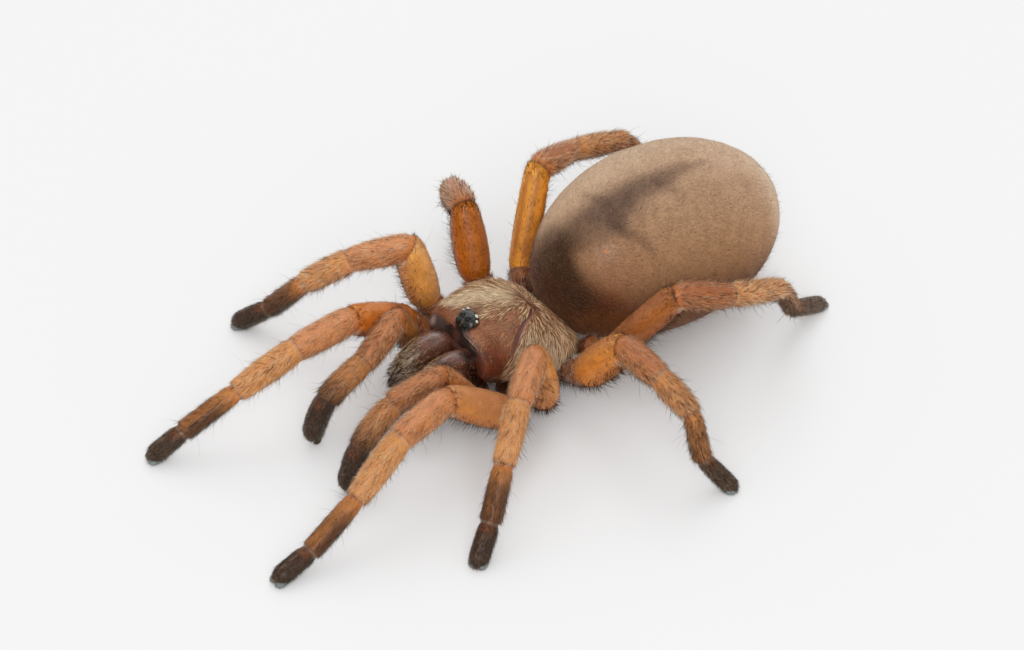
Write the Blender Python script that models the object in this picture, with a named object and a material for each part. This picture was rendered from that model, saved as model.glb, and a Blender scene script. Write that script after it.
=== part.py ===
"""A brush-footed trapdoor spider, life size, standing still on its eight feet and two palps.

Lengths are in millimetres and turned into metres as each object is made. While it is
built the head faces -Y, the spider's left is +X, the middle plane is x = 0 and the
ground is z = 0. At the end one empty carries the whole animal so that the middle of
its footprint is at the world's origin.
"""

import bpy
import numpy as np
from mathutils import Vector

MM = 0.001
GAP = 0.3  # left between two parts that meet
SIDES = 12  # corners round a limb
UP = np.array([0.0, 0.0, 1.0])

# Front of the body: the shield over head and thorax, by stations from front to rear.
SHIELD_Y = (-10.6, -10.2, -9.4, -8.3, -7.0, -5.7, -4.6, -3.7, -2.9, -2.2, -1.6)
SHIELD_HALF_WIDTH = (3.3, 3.5, 3.75, 4.05, 4.35, 4.5, 4.5, 4.2, 3.6, 2.75, 1.7)
SHIELD_TOP = (6.0, 6.4, 6.75, 6.95, 6.9, 6.6, 6.15, 5.45, 4.5, 3.55, 2.85)
SHIELD_EDGE = (5.0, 4.85, 4.5, 4.1, 3.8, 3.65, 3.6, 3.5, 3.3, 2.95, 2.55)
SHIELD_RIM = 0.35  # thickness of the free edge
SHIELD_FULLNESS = 0.66  # 1 gives an ellipse across, less a fuller vault
KEEL_HALF_WIDTH = 1.5
KEEL_BOTTOM = 2.05
EYE_MOUND = (0.0, -9.7)
EYE_MOUND_HALF = (0.95, 0.82)
EYE_MOUND_RISE = 0.55

# Breastplate with the lip in front of it.
PLATE_BOTTOM = 0.95
PLATE_TOP = KEEL_BOTTOM - GAP
PLATE_Y = (-9.75, -9.2, -8.75, -8.3, -6.8, -5.2, -3.4, -2.1)
PLATE_HALF_WIDTH = (0.35, 0.62, 0.62, 1.1, 1.62, 1.68, 1.35, 0.5)

# Abdomen: an egg, wider behind, that overhangs the rear of the shield.
ABDOMEN_CENTRE = np.array([0.15, 6.5, 6.4])
ABDOMEN_HALF = np.array([6.85, 9.87, 6.2])
ABDOMEN_EGG = 0.025
ABDOMEN_BROW = 0.75  # how far its lower front hangs forward over the shield
WAIST_Z = 1.46  # low enough for the abdomen's face to stay behind the stalk's front
ABDOMEN_RINGS = 22
ABDOMEN_SIDES = 28

# Jaws with the fangs folded back under them.
JAW_Y = (-10.9, -11.7, -12.8, -13.8, -14.6, -15.05)
JAW_CENTRE_Z = (4.3, 4.3, 4.2, 3.95, 3.5, 3.05)
JAW_HALF_WIDTH = (1.05, 1.17, 1.2, 1.12, 0.88, 0.5)
JAW_HALF_HEIGHT = (1.65, 1.8, 1.75, 1.5, 1.1, 0.6)
JAW_X = 1.3
FANG_PATH = ((1.4, -14.35, 1.75), (1.4, -14.1, 1.3), (1.35, -13.5, 1.05), (1.25, -12.7, 1.1), (1.2, -12.1, 1.3))
FANG_RADII = (0.4, 0.38, 0.3, 0.2, 0.08)

# Eyes: place across and along on the mound, radius.
EYES = {
    "front_middle": (0.22, -9.75, 0.18),
    "front_side": (0.44, -10.24, 0.19),
    "rear_middle": (0.36, -9.14, 0.14),
    "rear_side": (0.7, -9.4, 0.17),
}
EYE_GAP = 0.12

# Silk organs at the rear end: place across, height, length, base radius.
SPINNERETS = {
    "side": (0.95, 2.5, 1.6, 0.5),
    "middle": (0.32, 1.9, 0.8, 0.28),
}

# Limbs. Lengths and thickest half-widths run femur, patella, tibia, metatarsus, tarsus;
# a palp has no metatarsus. Roots are where the femora begin.
LENGTHS = {
    "leg_1": (6.8, 4.6, 4.95, 4.5, 3.1),
    "leg_2": (5.45, 4.1, 4.25, 3.85, 3.15),
    "leg_3": (5.6, 3.5, 3.2, 3.65, 3.5),
    "leg_4": (7.65, 4.2, 5.45, 5.2, 4.15),
    "palp": (5.05, 3.9, 3.65, 3.5),
}
THICKNESS = {
    "leg_1": (1.24, 1.04, 0.97, 0.8, 0.76),
    "leg_2": (1.22, 1.04, 0.92, 0.82, 0.76),
    "leg_3": (1.28, 1.0, 0.9, 0.74, 0.68),
    "leg_4": (1.05, 0.98, 0.84, 0.68, 0.64),
    "palp": (0.84, 0.9, 0.87, 0.78),
}
HIPS = {
    "leg_1": (1.95, -7.95, 1.2),
    "leg_2": (2.0, -6.35, 1.2),
    "leg_3": (1.95, -4.75, 1.2),
    "leg_4": (1.75, -3.15, 1.2),
    "palp": (1.2, -9.6, 1.35),
}
HIP_RADIUS = 0.74
HIP_SHARE = 0.68  # where the hip ends and the trochanter begins, from the breastplate to the femur
HIP_BEND_Z = 2.05
ROOTS = {
    ("leg_1", "left"): (6.0, -10.1, 2.7),
    ("leg_2", "left"): (6.2, -7.7, 3.15),
    ("leg_3", "left"): (6.2, -4.25, 3.6),
    ("leg_4", "left"): (5.45, -1.8, 3.4),
    ("palp", "left"): (4.0, -11.35, 2.6),
    ("leg_1", "right"): (6.3, -10.3, 2.8),
    ("leg_2", "right"): (6.9, -8.15, 3.1),
    ("leg_3", "right"): (6.2, -4.4, 3.8),
    ("leg_4", "right"): (5.15, -1.35, 3.5),
    ("palp", "right"): (4.1, -11.0, 2.0),
}
# The pose. A heading of 0 points forward and grows outwards and round to the rear, and
# a lift is the rise above the level. The last lift is worked out from the ground.
HEADINGS = {
    ("leg_1", "left"): (-4, 12, 7, 6, 1),
    ("leg_2", "left"): (28, 39, 34, 35, 30),
    ("leg_3", "left"): (99, 97, 101, 105, 132),
    ("leg_4", "left"): (132, 163, 185, 211, 193),
    ("palp", "left"): (-12, -4, -1, 1),
    ("leg_1", "right"): (-13, 0, 10, 14, 15),
    ("leg_2", "right"): (15, 35, 48, 46, 45),
    ("leg_3", "right"): (96, 113, 128, 139, 136),
    ("leg_4", "right"): (147, 162, 177, 178, 179),
    ("palp", "right"): (-20, -15, -3, 11),
}
LIFTS = {
    ("leg_1", "left"): (37, -5, -36, -28),
    ("leg_2", "left"): (70, -7, -43, -44),
    ("leg_3", "left"): (53, -9, -27, -74),
    ("leg_4", "left"): (53, -15, -23, -55),
    ("palp", "left"): (53, -9, -40),
    ("leg_1", "right"): (34, -4, -25, -30),
    ("leg_2", "right"): (76, -15, -38, -46),
    ("leg_3", "right"): (72, -18, -53, -53),
    ("leg_4", "right"): (62, -15, -17, -55),
    ("palp", "right"): (62, -23, -19),
}
FOOT_REST = 0.86  # height of a foot's round end over its half-width, under 1 to give a flat
TIP_REACH = 0.8  # length over which a foot's end is rounded
NECK = 0.16  # how much a limb narrows at a joint
NECK_REACH = 0.45

COLOURS = {
    "shield": (0.30, 0.16, 0.08),
    "plate": (0.22, 0.09, 0.04),
    "abdomen": (0.29, 0.19, 0.12),
    "jaw": (0.06, 0.03, 0.02),
    "fang": (0.02, 0.01, 0.01),
    "eye": (0.01, 0.01, 0.01),
    "hip": (0.24, 0.10, 0.04),
    "limb": (0.55, 0.24, 0.09),
    "foot": (0.12, 0.07, 0.04),
}
ROUGHNESS = {"eye": 0.08, "jaw": 0.35, "fang": 0.2}


def clear_scene():
    """Remove every object, mesh, material and collection that the file opened with."""
    for obj in list(bpy.data.objects):
        bpy.data.objects.remove(obj)
    for collection in list(bpy.data.collections):
        bpy.data.collections.remove(collection)
    for mesh in list(bpy.data.meshes):
        bpy.data.meshes.remove(mesh)
    for material in list(bpy.data.materials):
        bpy.data.materials.remove(material)


def make_material(kind, name):
    """Make the Principled material of one object."""
    material = bpy.data.materials.new(name)
    material.use_nodes = True
    shader = material.node_tree.nodes["Principled BSDF"]
    shader.inputs["Base Color"].default_value = (*COLOURS[kind], 1.0)
    shader.inputs["Roughness"].default_value = ROUGHNESS.get(kind, 0.6)
    shader.inputs["Metallic"].default_value = 0.0
    return material


def make_object(name, kind, points, faces, origin):
    """Make a smooth mesh object whose own origin is at the given place."""
    origin = np.asarray(origin, float)
    mesh = bpy.data.meshes.new(name)
    mesh.from_pydata(((np.asarray(points) - origin) * MM).tolist(), [], faces)
    mesh.materials.append(make_material(kind, name))
    mesh.polygons.foreach_set("use_smooth", [len(f) <= 4 for f in faces])
    mesh.update()
    obj = bpy.data.objects.new(name, mesh)
    obj.location = Vector(origin * MM)
    spider.objects.link(obj)
    return obj


def loft(name, kind, rings, origin):
    """Skin a row of rings that all run the same way round, and close both ends."""
    count, sides = rings.shape[:2]
    faces = []
    for i in range(count - 1):
        for j in range(sides):
            k = (j + 1) % sides
            faces.append((i * sides + j, i * sides + k, (i + 1) * sides + k, (i + 1) * sides + j))
    faces.append(tuple(range(sides))[::-1])
    faces.append(tuple((count - 1) * sides + j for j in range(sides)))
    points = rings.reshape(-1, 3)
    if signed_volume(points, faces) < 0:
        faces = [face[::-1] for face in faces]
    return make_object(name, kind, points, faces, origin)


def signed_volume(points, faces):
    """Give six times the volume, below zero where the faces look inwards."""
    total = 0.0
    for face in faces:
        for i in range(1, len(face) - 1):
            total += np.dot(points[face[0]], np.cross(points[face[i]], points[face[i + 1]]))
    return total


def unit(vector):
    return vector / np.linalg.norm(vector)


def smooth_through(stations, values, at):
    """Interpolate with a cubic curve whose slope at each station is that of its neighbours."""
    stations, values = np.asarray(stations, float), np.asarray(values, float)
    slopes = np.gradient(values, stations)
    i = np.clip(np.searchsorted(stations, at) - 1, 0, len(stations) - 2)
    step = stations[i + 1] - stations[i]
    t = (np.asarray(at) - stations[i]) / step
    return (
        (2 * t**3 - 3 * t**2 + 1) * values[i]
        + (t**3 - 2 * t**2 + t) * step * slopes[i]
        + (3 * t**2 - 2 * t**3) * values[i + 1]
        + (t**3 - t**2) * step * slopes[i + 1]
    )


def shield_top(x, y):
    """Give the height of the shield's upper face, mound included."""
    half = smooth_through(SHIELD_Y, SHIELD_HALF_WIDTH, y)
    top = smooth_through(SHIELD_Y, SHIELD_TOP, y)
    edge = smooth_through(SHIELD_Y, SHIELD_EDGE, y)
    across = np.clip(np.abs(x) / half, 0.0, 1.0)
    vault = edge + (top - edge) * np.sqrt(1 - across**2) ** SHIELD_FULLNESS
    reach = ((x - EYE_MOUND[0]) / EYE_MOUND_HALF[0]) ** 2 + ((y - EYE_MOUND[1]) / EYE_MOUND_HALF[1]) ** 2
    return vault + EYE_MOUND_RISE * np.exp(-(reach**2))


def build_shield():
    """Loft the shield from closed sections: a vault above, a keel between the hips below."""
    front, rear = SHIELD_Y[0], SHIELD_Y[-1]
    along = np.concatenate([np.linspace(front, -9.0, 9), np.linspace(-8.5, rear, 14)])
    turn = np.radians(np.linspace(-90, 90, 25))
    rings = []
    for y in along:
        half = smooth_through(SHIELD_Y, SHIELD_HALF_WIDTH, y)
        edge = smooth_through(SHIELD_Y, SHIELD_EDGE, y)
        x = half * np.sin(turn)
        above = np.stack([x, np.full_like(x, y), shield_top(x, y)], axis=-1)
        under_x = np.array([1.0, 0.8, 0.6]) * half
        under_x = np.concatenate([under_x, [min(KEEL_HALF_WIDTH, 0.4 * half)]])
        share = (under_x - under_x[-1]) / (half - under_x[-1])
        under_z = KEEL_BOTTOM + (edge - SHIELD_RIM - KEEL_BOTTOM) * share
        right = np.stack([under_x, np.full(4, y), under_z], axis=-1)
        left = right[::-1] * np.array([-1, 1, 1])
        rings.append(np.concatenate([above, right, left]))
    return loft("carapace", "shield", np.array(rings), (0.0, front, KEEL_BOTTOM))


def build_plate():
    """Loft the breastplate, bowed a little below, with the lip as its front lobe."""
    turn = np.linspace(0, 2 * np.pi, 17)[:-1]
    middle = 0.5 * (PLATE_TOP + PLATE_BOTTOM)
    thick = 0.5 * (PLATE_TOP - PLATE_BOTTOM)
    rings = []
    for y, half in zip(PLATE_Y, PLATE_HALF_WIDTH):
        x = half * np.cos(turn)
        z = middle + thick * np.clip(1.25 * np.sin(turn), -1, 1)
        rings.append(np.stack([x, np.full_like(x, y), z], axis=-1))
    return loft("sternum", "plate", np.array(rings), (0.0, PLATE_Y[0], middle))


def abdomen_section(along):
    """Give the egg's section, from 0 at its front to pi at its rear: half-width, half-height, middle."""
    swell = np.sin(along) * (1 - ABDOMEN_EGG * np.cos(along))
    brow = ABDOMEN_BROW * np.clip(np.cos(along), 0.0, 1.0) ** 3
    return ABDOMEN_HALF[0] * swell, ABDOMEN_HALF[2] * swell + 0.6 * brow, ABDOMEN_CENTRE[2] - brow


def abdomen_depth(x, z, rear):
    """Give the egg's y at a place seen from in front or from behind, by halving."""
    low, high = (np.pi / 2, np.pi) if rear else (np.pi / 2, 0.0)
    for _ in range(40):
        along = 0.5 * (low + high)
        half, tall, middle = abdomen_section(along)
        inside = np.hypot((x - ABDOMEN_CENTRE[0]) / half, (z - middle) / tall) < 1
        low, high = (along, high) if inside else (low, along)
    return ABDOMEN_CENTRE[1] - ABDOMEN_HALF[1] * np.cos(low)


def build_abdomen():
    """Loft the egg and hollow its lower front where it lies over the shield."""
    along = np.linspace(0.09, np.pi - 0.09, ABDOMEN_RINGS)[:, None]
    turn = np.linspace(0, 2 * np.pi, ABDOMEN_SIDES + 1)[None, :-1]
    half, tall, middle = abdomen_section(along)
    x = ABDOMEN_CENTRE[0] + half * np.cos(turn)
    y = ABDOMEN_CENTRE[1] - ABDOMEN_HALF[1] * np.cos(along) + 0 * turn
    z = middle + tall * np.sin(turn)
    over = (y < SHIELD_Y[-1] + 0.6) & (np.abs(x) < 4.4)
    floor = shield_top(x, np.clip(y, SHIELD_Y[0], SHIELD_Y[-1])) + GAP + 0.05
    z = np.where(over & (z < floor), floor, z)
    return loft("abdomen", "abdomen", np.stack([x, y, z], axis=-1), ABDOMEN_CENTRE)


def build_waist():
    """Loft the short stalk between the two halves of the body."""
    turn = np.linspace(0, 2 * np.pi, 15)[:-1]
    x, z = 0.6 * np.cos(turn), WAIST_Z + 0.34 * np.sin(turn)
    front = np.stack([x, np.full_like(x, SHIELD_Y[-1] + GAP), z], axis=-1)
    ends = [z.min(), z.max()]
    rear_y = np.interp(z, ends, [abdomen_depth(ABDOMEN_CENTRE[0], end, False) - GAP for end in ends])
    rear = np.stack([x, rear_y, z], axis=-1)
    middle = 0.5 * (front + rear)
    middle[:, 0] *= 0.85
    return loft("pedicel", "plate", np.array([front, middle, rear]), (0.0, SHIELD_Y[-1], WAIST_Z))


def build_jaw(side, sign):
    """Loft one jaw, flat where it faces its twin."""
    stations = np.linspace(JAW_Y[0], JAW_Y[-1], 11)
    turn = np.linspace(0, 2 * np.pi, 17)[:-1]
    rings = []
    for y in stations:
        order = np.array(JAW_Y)[::-1]
        half_x = smooth_through(order, JAW_HALF_WIDTH[::-1], y)
        half_z = smooth_through(order, JAW_HALF_HEIGHT[::-1], y)
        centre = smooth_through(order, JAW_CENTRE_Z[::-1], y)
        x = np.maximum(JAW_X + half_x * np.cos(turn), GAP / 2)
        z = centre + half_z * np.sin(turn)
        rings.append(np.stack([sign * x, np.full_like(x, y), z], axis=-1))
    return loft(f"chelicera_{side}", "jaw", np.array(rings), (sign * JAW_X, JAW_Y[0], JAW_CENTRE_Z[0]))


def build_fang(side, sign):
    """Loft one fang along its curve, down to a blunt point."""
    path = np.array(FANG_PATH) * np.array([sign, 1, 1])
    turn = np.linspace(0, 2 * np.pi, 9)[:-1]
    rings = []
    for i, (centre, radius) in enumerate(zip(path, FANG_RADII)):
        ahead = unit(path[min(i + 1, len(path) - 1)] - path[max(i - 1, 0)])
        across = unit(np.cross(UP, ahead))
        over = np.cross(ahead, across)
        rings.append(centre + radius * (np.cos(turn)[:, None] * across + np.sin(turn)[:, None] * over))
    return loft(f"fang_{side}", "fang", np.array(rings), path[0])


def build_eye(name, x, y, radius):
    """Make one eye as a dome that stands just off the mound, square to its face."""
    step = 0.02
    slope_x = (shield_top(x + step, y) - shield_top(x - step, y)) / (2 * step)
    slope_y = (shield_top(x, y + step) - shield_top(x, y - step)) / (2 * step)
    out = unit(np.array([-slope_x, -slope_y, 1.0]))
    across = unit(np.cross(out, np.array([0.0, 1.0, 0.0])))
    over = np.cross(out, across)
    base = np.array([x, y, shield_top(x, y)]) + EYE_GAP * out
    turn = np.linspace(0, 2 * np.pi, 11)[:-1]
    rings = []
    for lift in np.radians([0, 32, 58, 80]):
        reach = radius * np.cos(lift)
        spoke = np.cos(turn)[:, None] * across + np.sin(turn)[:, None] * over
        rings.append(base + reach * spoke + radius * np.sin(lift) * out)
    return loft(name, "eye", np.array(rings), base)


def build_spinneret(name, sign, across, height, length, radius):
    """Loft one silk organ from the abdomen's rear, its base cut to the abdomen's slope."""
    turn = np.linspace(0, 2 * np.pi, 11)[:-1]
    centre_x = ABDOMEN_CENTRE[0] + sign * across
    x, z = centre_x + radius * np.cos(turn), height + radius * np.sin(turn)
    base_y = np.array([abdomen_depth(a, b, True) + GAP for a, b in zip(x, z)])
    tip_y = base_y.max() + 0.3 * length
    rings = [np.stack([x, base_y, z], axis=-1)]
    for share, swell in ((0.3, 1.0), (0.6, 0.88), (0.8, 0.8), (0.95, 0.55), (1.0, 0.25)):
        y = np.full_like(x, tip_y - 0.3 * length + share * length)
        drop = -0.12 * length * share**2
        ring_x = centre_x + sign * 0.1 * share * length + swell * (x - centre_x)
        rings.append(np.stack([ring_x, y, height + drop + swell * (z - height)], axis=-1))
    return loft(name, "hip", np.array(rings), (centre_x, base_y.min(), height))


def heading_vector(heading, lift, sign):
    """Turn a heading and a lift into a direction."""
    a, e = np.radians(heading), np.radians(lift)
    return np.array([sign * np.cos(e) * np.sin(a), -np.cos(e) * np.cos(a), np.sin(e)])


def limb_joints(limb, side, sign):
    """Give the limb's joints from the root of the femur to the tip of the foot."""
    points = [np.array(ROOTS[limb, side]) * np.array([sign, 1, 1])]
    headings, lengths = HEADINGS[limb, side], LENGTHS[limb]
    for heading, lift, length in zip(headings, LIFTS[limb, side], lengths):
        points.append(points[-1] + length * heading_vector(heading, lift, sign))
    rest = FOOT_REST * THICKNESS[limb][-1]
    drop = (points[-1][2] - rest) / (lengths[-1] - TIP_REACH)
    last = -np.degrees(np.arcsin(np.clip(drop, -0.95, 0.95)))
    points.append(points[-1] + lengths[-1] * heading_vector(headings[-1], last, sign))
    return points


def limb_ring(centre, ahead, face, half, tall):
    """Make one ring of a limb: an ellipse across it, slid along it onto the face's plane."""
    turn = np.linspace(0, 2 * np.pi, SIDES + 1)[:-1]
    across = unit(np.cross(UP, ahead))
    over = np.cross(ahead, across)
    ring = half * (np.cos(turn)[:, None] * across + tall * np.sin(turn)[:, None] * over)
    slide = (ring @ face) / (ahead @ face)
    return centre + ring - slide[:, None] * ahead


def build_limb_part(name, kind, joints, before, after, halves, tall=1.08, tip=False):
    """Loft the part of a limb along two or three joints.

    Where it meets a neighbour, its end face halves the bend between them and stands
    half a gap back. halves gives the half-width at the start, middle and end of each
    length. A tip is rounded and laid flat on the ground.
    """
    aheads = [unit(b - a) for a, b in zip(joints, joints[1:])]
    faces = [unit((before if before is not None else aheads[0]) + aheads[0])]
    faces += [unit(a + b) for a, b in zip(aheads, aheads[1:])]
    faces += [unit(aheads[-1] + (after if after is not None else aheads[-1]))]
    rings = []
    for i, ahead in enumerate(aheads):
        length = np.linalg.norm(joints[i + 1] - joints[i])
        first, last = i == 0, i == len(aheads) - 1
        start = GAP / 2 / (ahead @ faces[i]) if first else 0.0
        end = length - (0.0 if not last or tip else GAP / 2 / (ahead @ faces[i + 1]))
        inner = (0.32, 0.8) if length > 2.2 else (0.3,)
        places = [start] + [start + d for d in inner]
        places += [0.5 * (start + end)] + [end - d for d in inner[::-1]]
        if tip and last:
            places[-1] = end - 0.5 * TIP_REACH
            places += [end - 0.2 * TIP_REACH, end - 0.04 * TIP_REACH]
        elif last:
            places.append(end)
        for place in places:
            share = place / length
            low, middle, high = halves[i]
            half = (1 - share) * (1 - 2 * share) * low + 4 * share * (1 - share) * middle
            half += share * (2 * share - 1) * high
            near_start = np.exp(-(((place - start) / NECK_REACH) ** 2))
            near_end = np.exp(-(((end - place) / NECK_REACH) ** 2))
            if tip and last:
                half *= 1 - NECK * near_start
                half *= np.sqrt(max(0.1, 1 - max(0.0, (place - end + TIP_REACH) / TIP_REACH) ** 2))
            else:
                half *= 1 - NECK * max(near_start, near_end)
            blend_start = max(0.0, 1 - place / (1.5 * middle))
            blend_end = max(0.0, 1 - (length - place) / (1.5 * middle))
            if tip and last:
                blend_end = 0.0
            face = unit(ahead * (1 - max(blend_start, blend_end)) + faces[i] * blend_start * (blend_start >= blend_end)
                        + faces[i + 1] * blend_end * (blend_end > blend_start))
            rings.append(limb_ring(joints[i] + place * ahead, ahead, face, half, tall))
    rings = np.array(rings)
    if tip:
        rings[..., 2] = np.maximum(rings[..., 2], 0.0)
    return loft(name, kind, rings, joints[0])


def build_limb(limb, side, sign):
    """Build the four parts of one leg or palp."""
    joints = limb_joints(limb, side, sign)
    size = THICKNESS[limb]
    hip = np.array(HIPS[limb]) * np.array([sign, 1, 1])
    bend = hip + HIP_SHARE * (joints[0] - hip)
    bend[2] = HIP_BEND_Z
    ahead = [unit(b - a) for a, b in zip(joints, joints[1:])]
    stem = f"{limb}_{side}"
    base = 0.86 * size[0]
    build_limb_part(f"{stem}_coxa", "hip", [hip, bend, joints[0]], None, ahead[0],
                    [(HIP_RADIUS, HIP_RADIUS, 0.84), (0.84, 0.5 * (0.84 + base), base)], 1.0)
    build_limb_part(f"{stem}_femur", "limb", joints[:2], unit(joints[0] - bend), ahead[1],
                    [(base, size[0], 0.95 * size[1])])
    build_limb_part(f"{stem}_patella_tibia", "limb", joints[1:4], ahead[0], ahead[3],
                    [(0.95 * size[1], size[1], 0.95 * size[2]), (0.95 * size[2], size[2], 1.02 * size[3])])
    if limb == "palp":
        halves = [(0.9 * size[3], size[3], 0.9 * size[3])]
    else:
        halves = [(0.95 * size[3], size[3], size[3]), (0.92 * size[4], size[4], 0.92 * size[4])]
    build_limb_part(f"{stem}_foot", "foot", joints[3:], ahead[2], None, halves, 0.95, tip=True)


def centre_on_origin():
    """Hang every part on one empty and set the middle of the footprint at the origin."""
    carrier = bpy.data.objects.new("spider_carrier", None)
    spider.objects.link(carrier)
    bpy.context.view_layer.update()
    parts = [obj for obj in spider.objects if obj.type == "MESH"]
    corners = np.array([obj.matrix_world @ vertex.co for obj in parts for vertex in obj.data.vertices])
    low, high = corners.min(axis=0), corners.max(axis=0)
    for obj in parts:
        obj.parent = carrier
    carrier.location = (-0.5 * (low[0] + high[0]), -0.5 * (low[1] + high[1]), -low[2])


clear_scene()
spider = bpy.data.collections.new("trapdoor_spider")
bpy.context.scene.collection.children.link(spider)
build_shield()
build_plate()
build_waist()
build_abdomen()
for side, sign in (("left", 1), ("right", -1)):
    build_jaw(side, sign)
    build_fang(side, sign)
    for place, (x, y, radius) in EYES.items():
        build_eye(f"eye_{place}_{side}", sign * x, y, radius)
    for place, sizes in SPINNERETS.items():
        build_spinneret(f"spinneret_{place}_{side}", sign, *sizes)
    for limb in LENGTHS:
        build_limb(limb, side, sign)
centre_on_origin()
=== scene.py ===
"""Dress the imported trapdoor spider: fine cuticle, velvet, hair, eyes and claws, on a pale floor.

Lengths are millimetres in the spider's own frame until a mesh is made: its head looks
towards -Y, its left is +X and the ground is z = 0. Place.shift then carries them into
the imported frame. Every skin is a grid of rings, every hair a closed spike that grows on one.
"""

import logging
from dataclasses import dataclass
from enum import Enum

import bpy
import numpy as np
from mathutils import Matrix, Vector


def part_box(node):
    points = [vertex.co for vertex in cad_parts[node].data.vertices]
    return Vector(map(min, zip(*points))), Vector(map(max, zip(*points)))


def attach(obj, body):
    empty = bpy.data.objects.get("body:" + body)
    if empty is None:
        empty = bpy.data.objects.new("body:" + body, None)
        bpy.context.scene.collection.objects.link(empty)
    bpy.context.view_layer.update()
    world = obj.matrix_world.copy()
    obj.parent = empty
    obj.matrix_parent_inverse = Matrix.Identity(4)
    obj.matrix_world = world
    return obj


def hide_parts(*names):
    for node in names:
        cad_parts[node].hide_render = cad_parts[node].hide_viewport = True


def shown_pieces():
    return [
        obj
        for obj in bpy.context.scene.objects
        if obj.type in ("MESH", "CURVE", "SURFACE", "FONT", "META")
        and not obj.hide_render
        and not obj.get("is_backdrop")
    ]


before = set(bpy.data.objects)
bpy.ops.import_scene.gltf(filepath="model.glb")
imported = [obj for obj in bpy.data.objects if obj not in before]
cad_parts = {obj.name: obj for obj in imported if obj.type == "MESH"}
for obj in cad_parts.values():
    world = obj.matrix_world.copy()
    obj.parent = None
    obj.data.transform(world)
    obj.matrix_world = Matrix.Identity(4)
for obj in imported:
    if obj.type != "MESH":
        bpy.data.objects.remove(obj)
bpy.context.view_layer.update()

Array = np.ndarray
Object = bpy.types.Object
Material = bpy.types.Material
Nodes = bpy.types.Nodes
Links = bpy.types.NodeLinks
Socket = bpy.types.NodeSocket
Three = tuple[float, float, float]  # a place in mm, or a factor for each colour
Trail = tuple[tuple[float, ...], ...]  # places in mm, some with a half-width and a darkness
Tone = tuple[float, float, float, float]  # linear red, green and blue, then roughness
log = logging.getLogger("spider")

MM = 0.001
UP = np.array([0.0, 0.0, 1.0])
BODY = "root"
MOST_COAT_TRIANGLES = 190_000
PATCH_HALF = 0.0015  # half the width of a hair's patch on its coat's unwrap
NOISE_RANGE = (0.3, 0.7)  # the usual span of a noise's values
HAIR_SINK = 0.8  # how deep a hair's base is sunk, and how tall it is, in radii
HAIR_WAIST = 0.75  # how wide a bent hair is halfway, as a share of its base
HAIR_FLOOR = 0.01  # the lowest that a hair reaches, in mm above the ground
HAIR_VARY = 0.25  # how much the rise differs from hair to hair, as a share of it
BENT_FACES = (
    (0, 2, 1), (0, 1, 4), (0, 4, 3), (1, 2, 5), (1, 5, 4), (2, 0, 3), (2, 3, 5), (3, 4, 6), (4, 5, 6),
    (5, 3, 6),
)
STRAIGHT_FACES = ((0, 2, 1), (0, 1, 3), (1, 2, 3), (2, 0, 3))


class Side(Enum):
    """A side of the spider, with the sign of its x."""

    LEFT = 1
    RIGHT = -1


class Limb(Enum):
    """A pair of limbs, by its nodes' name."""

    LEG_1 = "leg_1"
    LEG_2 = "leg_2"
    LEG_3 = "leg_3"
    LEG_4 = "leg_4"
    PALP = "palp"


class Part(Enum):
    """A length of a limb, from the body out."""

    COXA = 0
    TROCHANTER = 1
    FEMUR = 2
    PATELLA = 3
    TIBIA = 4
    METATARSUS = 5
    TARSUS = 6


FEMUR, PATELLA, TIBIA = Part.FEMUR.value, Part.PATELLA.value, Part.TIBIA.value


def unit(vectors: Array) -> Array:
    """Scale vectors to length one along their last axis."""
    return vectors / np.maximum(np.linalg.norm(vectors, axis=-1, keepdims=True), 1e-9)


def circle(columns: int) -> Array:
    """Give even angles once round, one for each column."""
    return np.linspace(0, 2 * np.pi, columns + 1)[:-1]


def placed(x: Array, y: Array, z: Array) -> Array:
    """Stack coordinates that broadcast together into points."""
    return np.stack(np.broadcast_arrays(x, y, z), axis=-1)


def everywhere(points: Array, values: Array) -> Array:
    """Give every point the same values."""
    return np.tile(np.asarray(values, float), (*points.shape[:2], 1))


def brighten(tone: Array, factor: Array) -> None:
    """Multiply a tone's colours, but not its roughness, by a factor at each point."""
    tone[..., :3] *= factor[..., None]


def smooth_through(stations: Array, values: Array, at: Array) -> Array:
    """Interpolate with a cubic whose slope at each station is that of its neighbours.

    Args:
        stations: rising places where the value is known.
        values: the value at each.
        at: places to read.

    Returns:
        The value at each place.
    """
    stations, values = np.asarray(stations, float), np.asarray(values, float)
    slopes = np.gradient(values, stations)
    i = np.clip(np.searchsorted(stations, at) - 1, 0, len(stations) - 2)
    step = stations[i + 1] - stations[i]
    t = (np.asarray(at) - stations[i]) / step
    start = (2 * t**3 - 3 * t**2 + 1) * values[i] + (t**3 - 2 * t**2 + t) * step * slopes[i]
    end = (3 * t**2 - 2 * t**3) * values[i + 1] + (t**3 - t**2) * step * slopes[i + 1]
    return start + end


def ease(low: float, high: float, x: Array) -> Array:
    """Rise smoothly from 0 at low to 1 at high."""
    t = np.clip((x - low) / (high - low), 0.0, 1.0)
    return t * t * (3 - 2 * t)


def bell(x: Array, width: float) -> Array:
    """Give a bell curve that is 1 at zero and falls off over width."""
    return np.exp(-((x / width) ** 2))


def halo(points: Array, place: Three, width: float) -> Array:
    """Give a bell curve of the distance from a place."""
    return bell(np.linalg.norm(points - np.array(place), axis=-1), width)


def blend(a: Array, b: Array, share: Array) -> Array:
    """Mix two tones by a share that lacks their last axis."""
    share = np.asarray(share)[..., None]
    return np.asarray(a) * (1 - share) + np.asarray(b) * share


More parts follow.
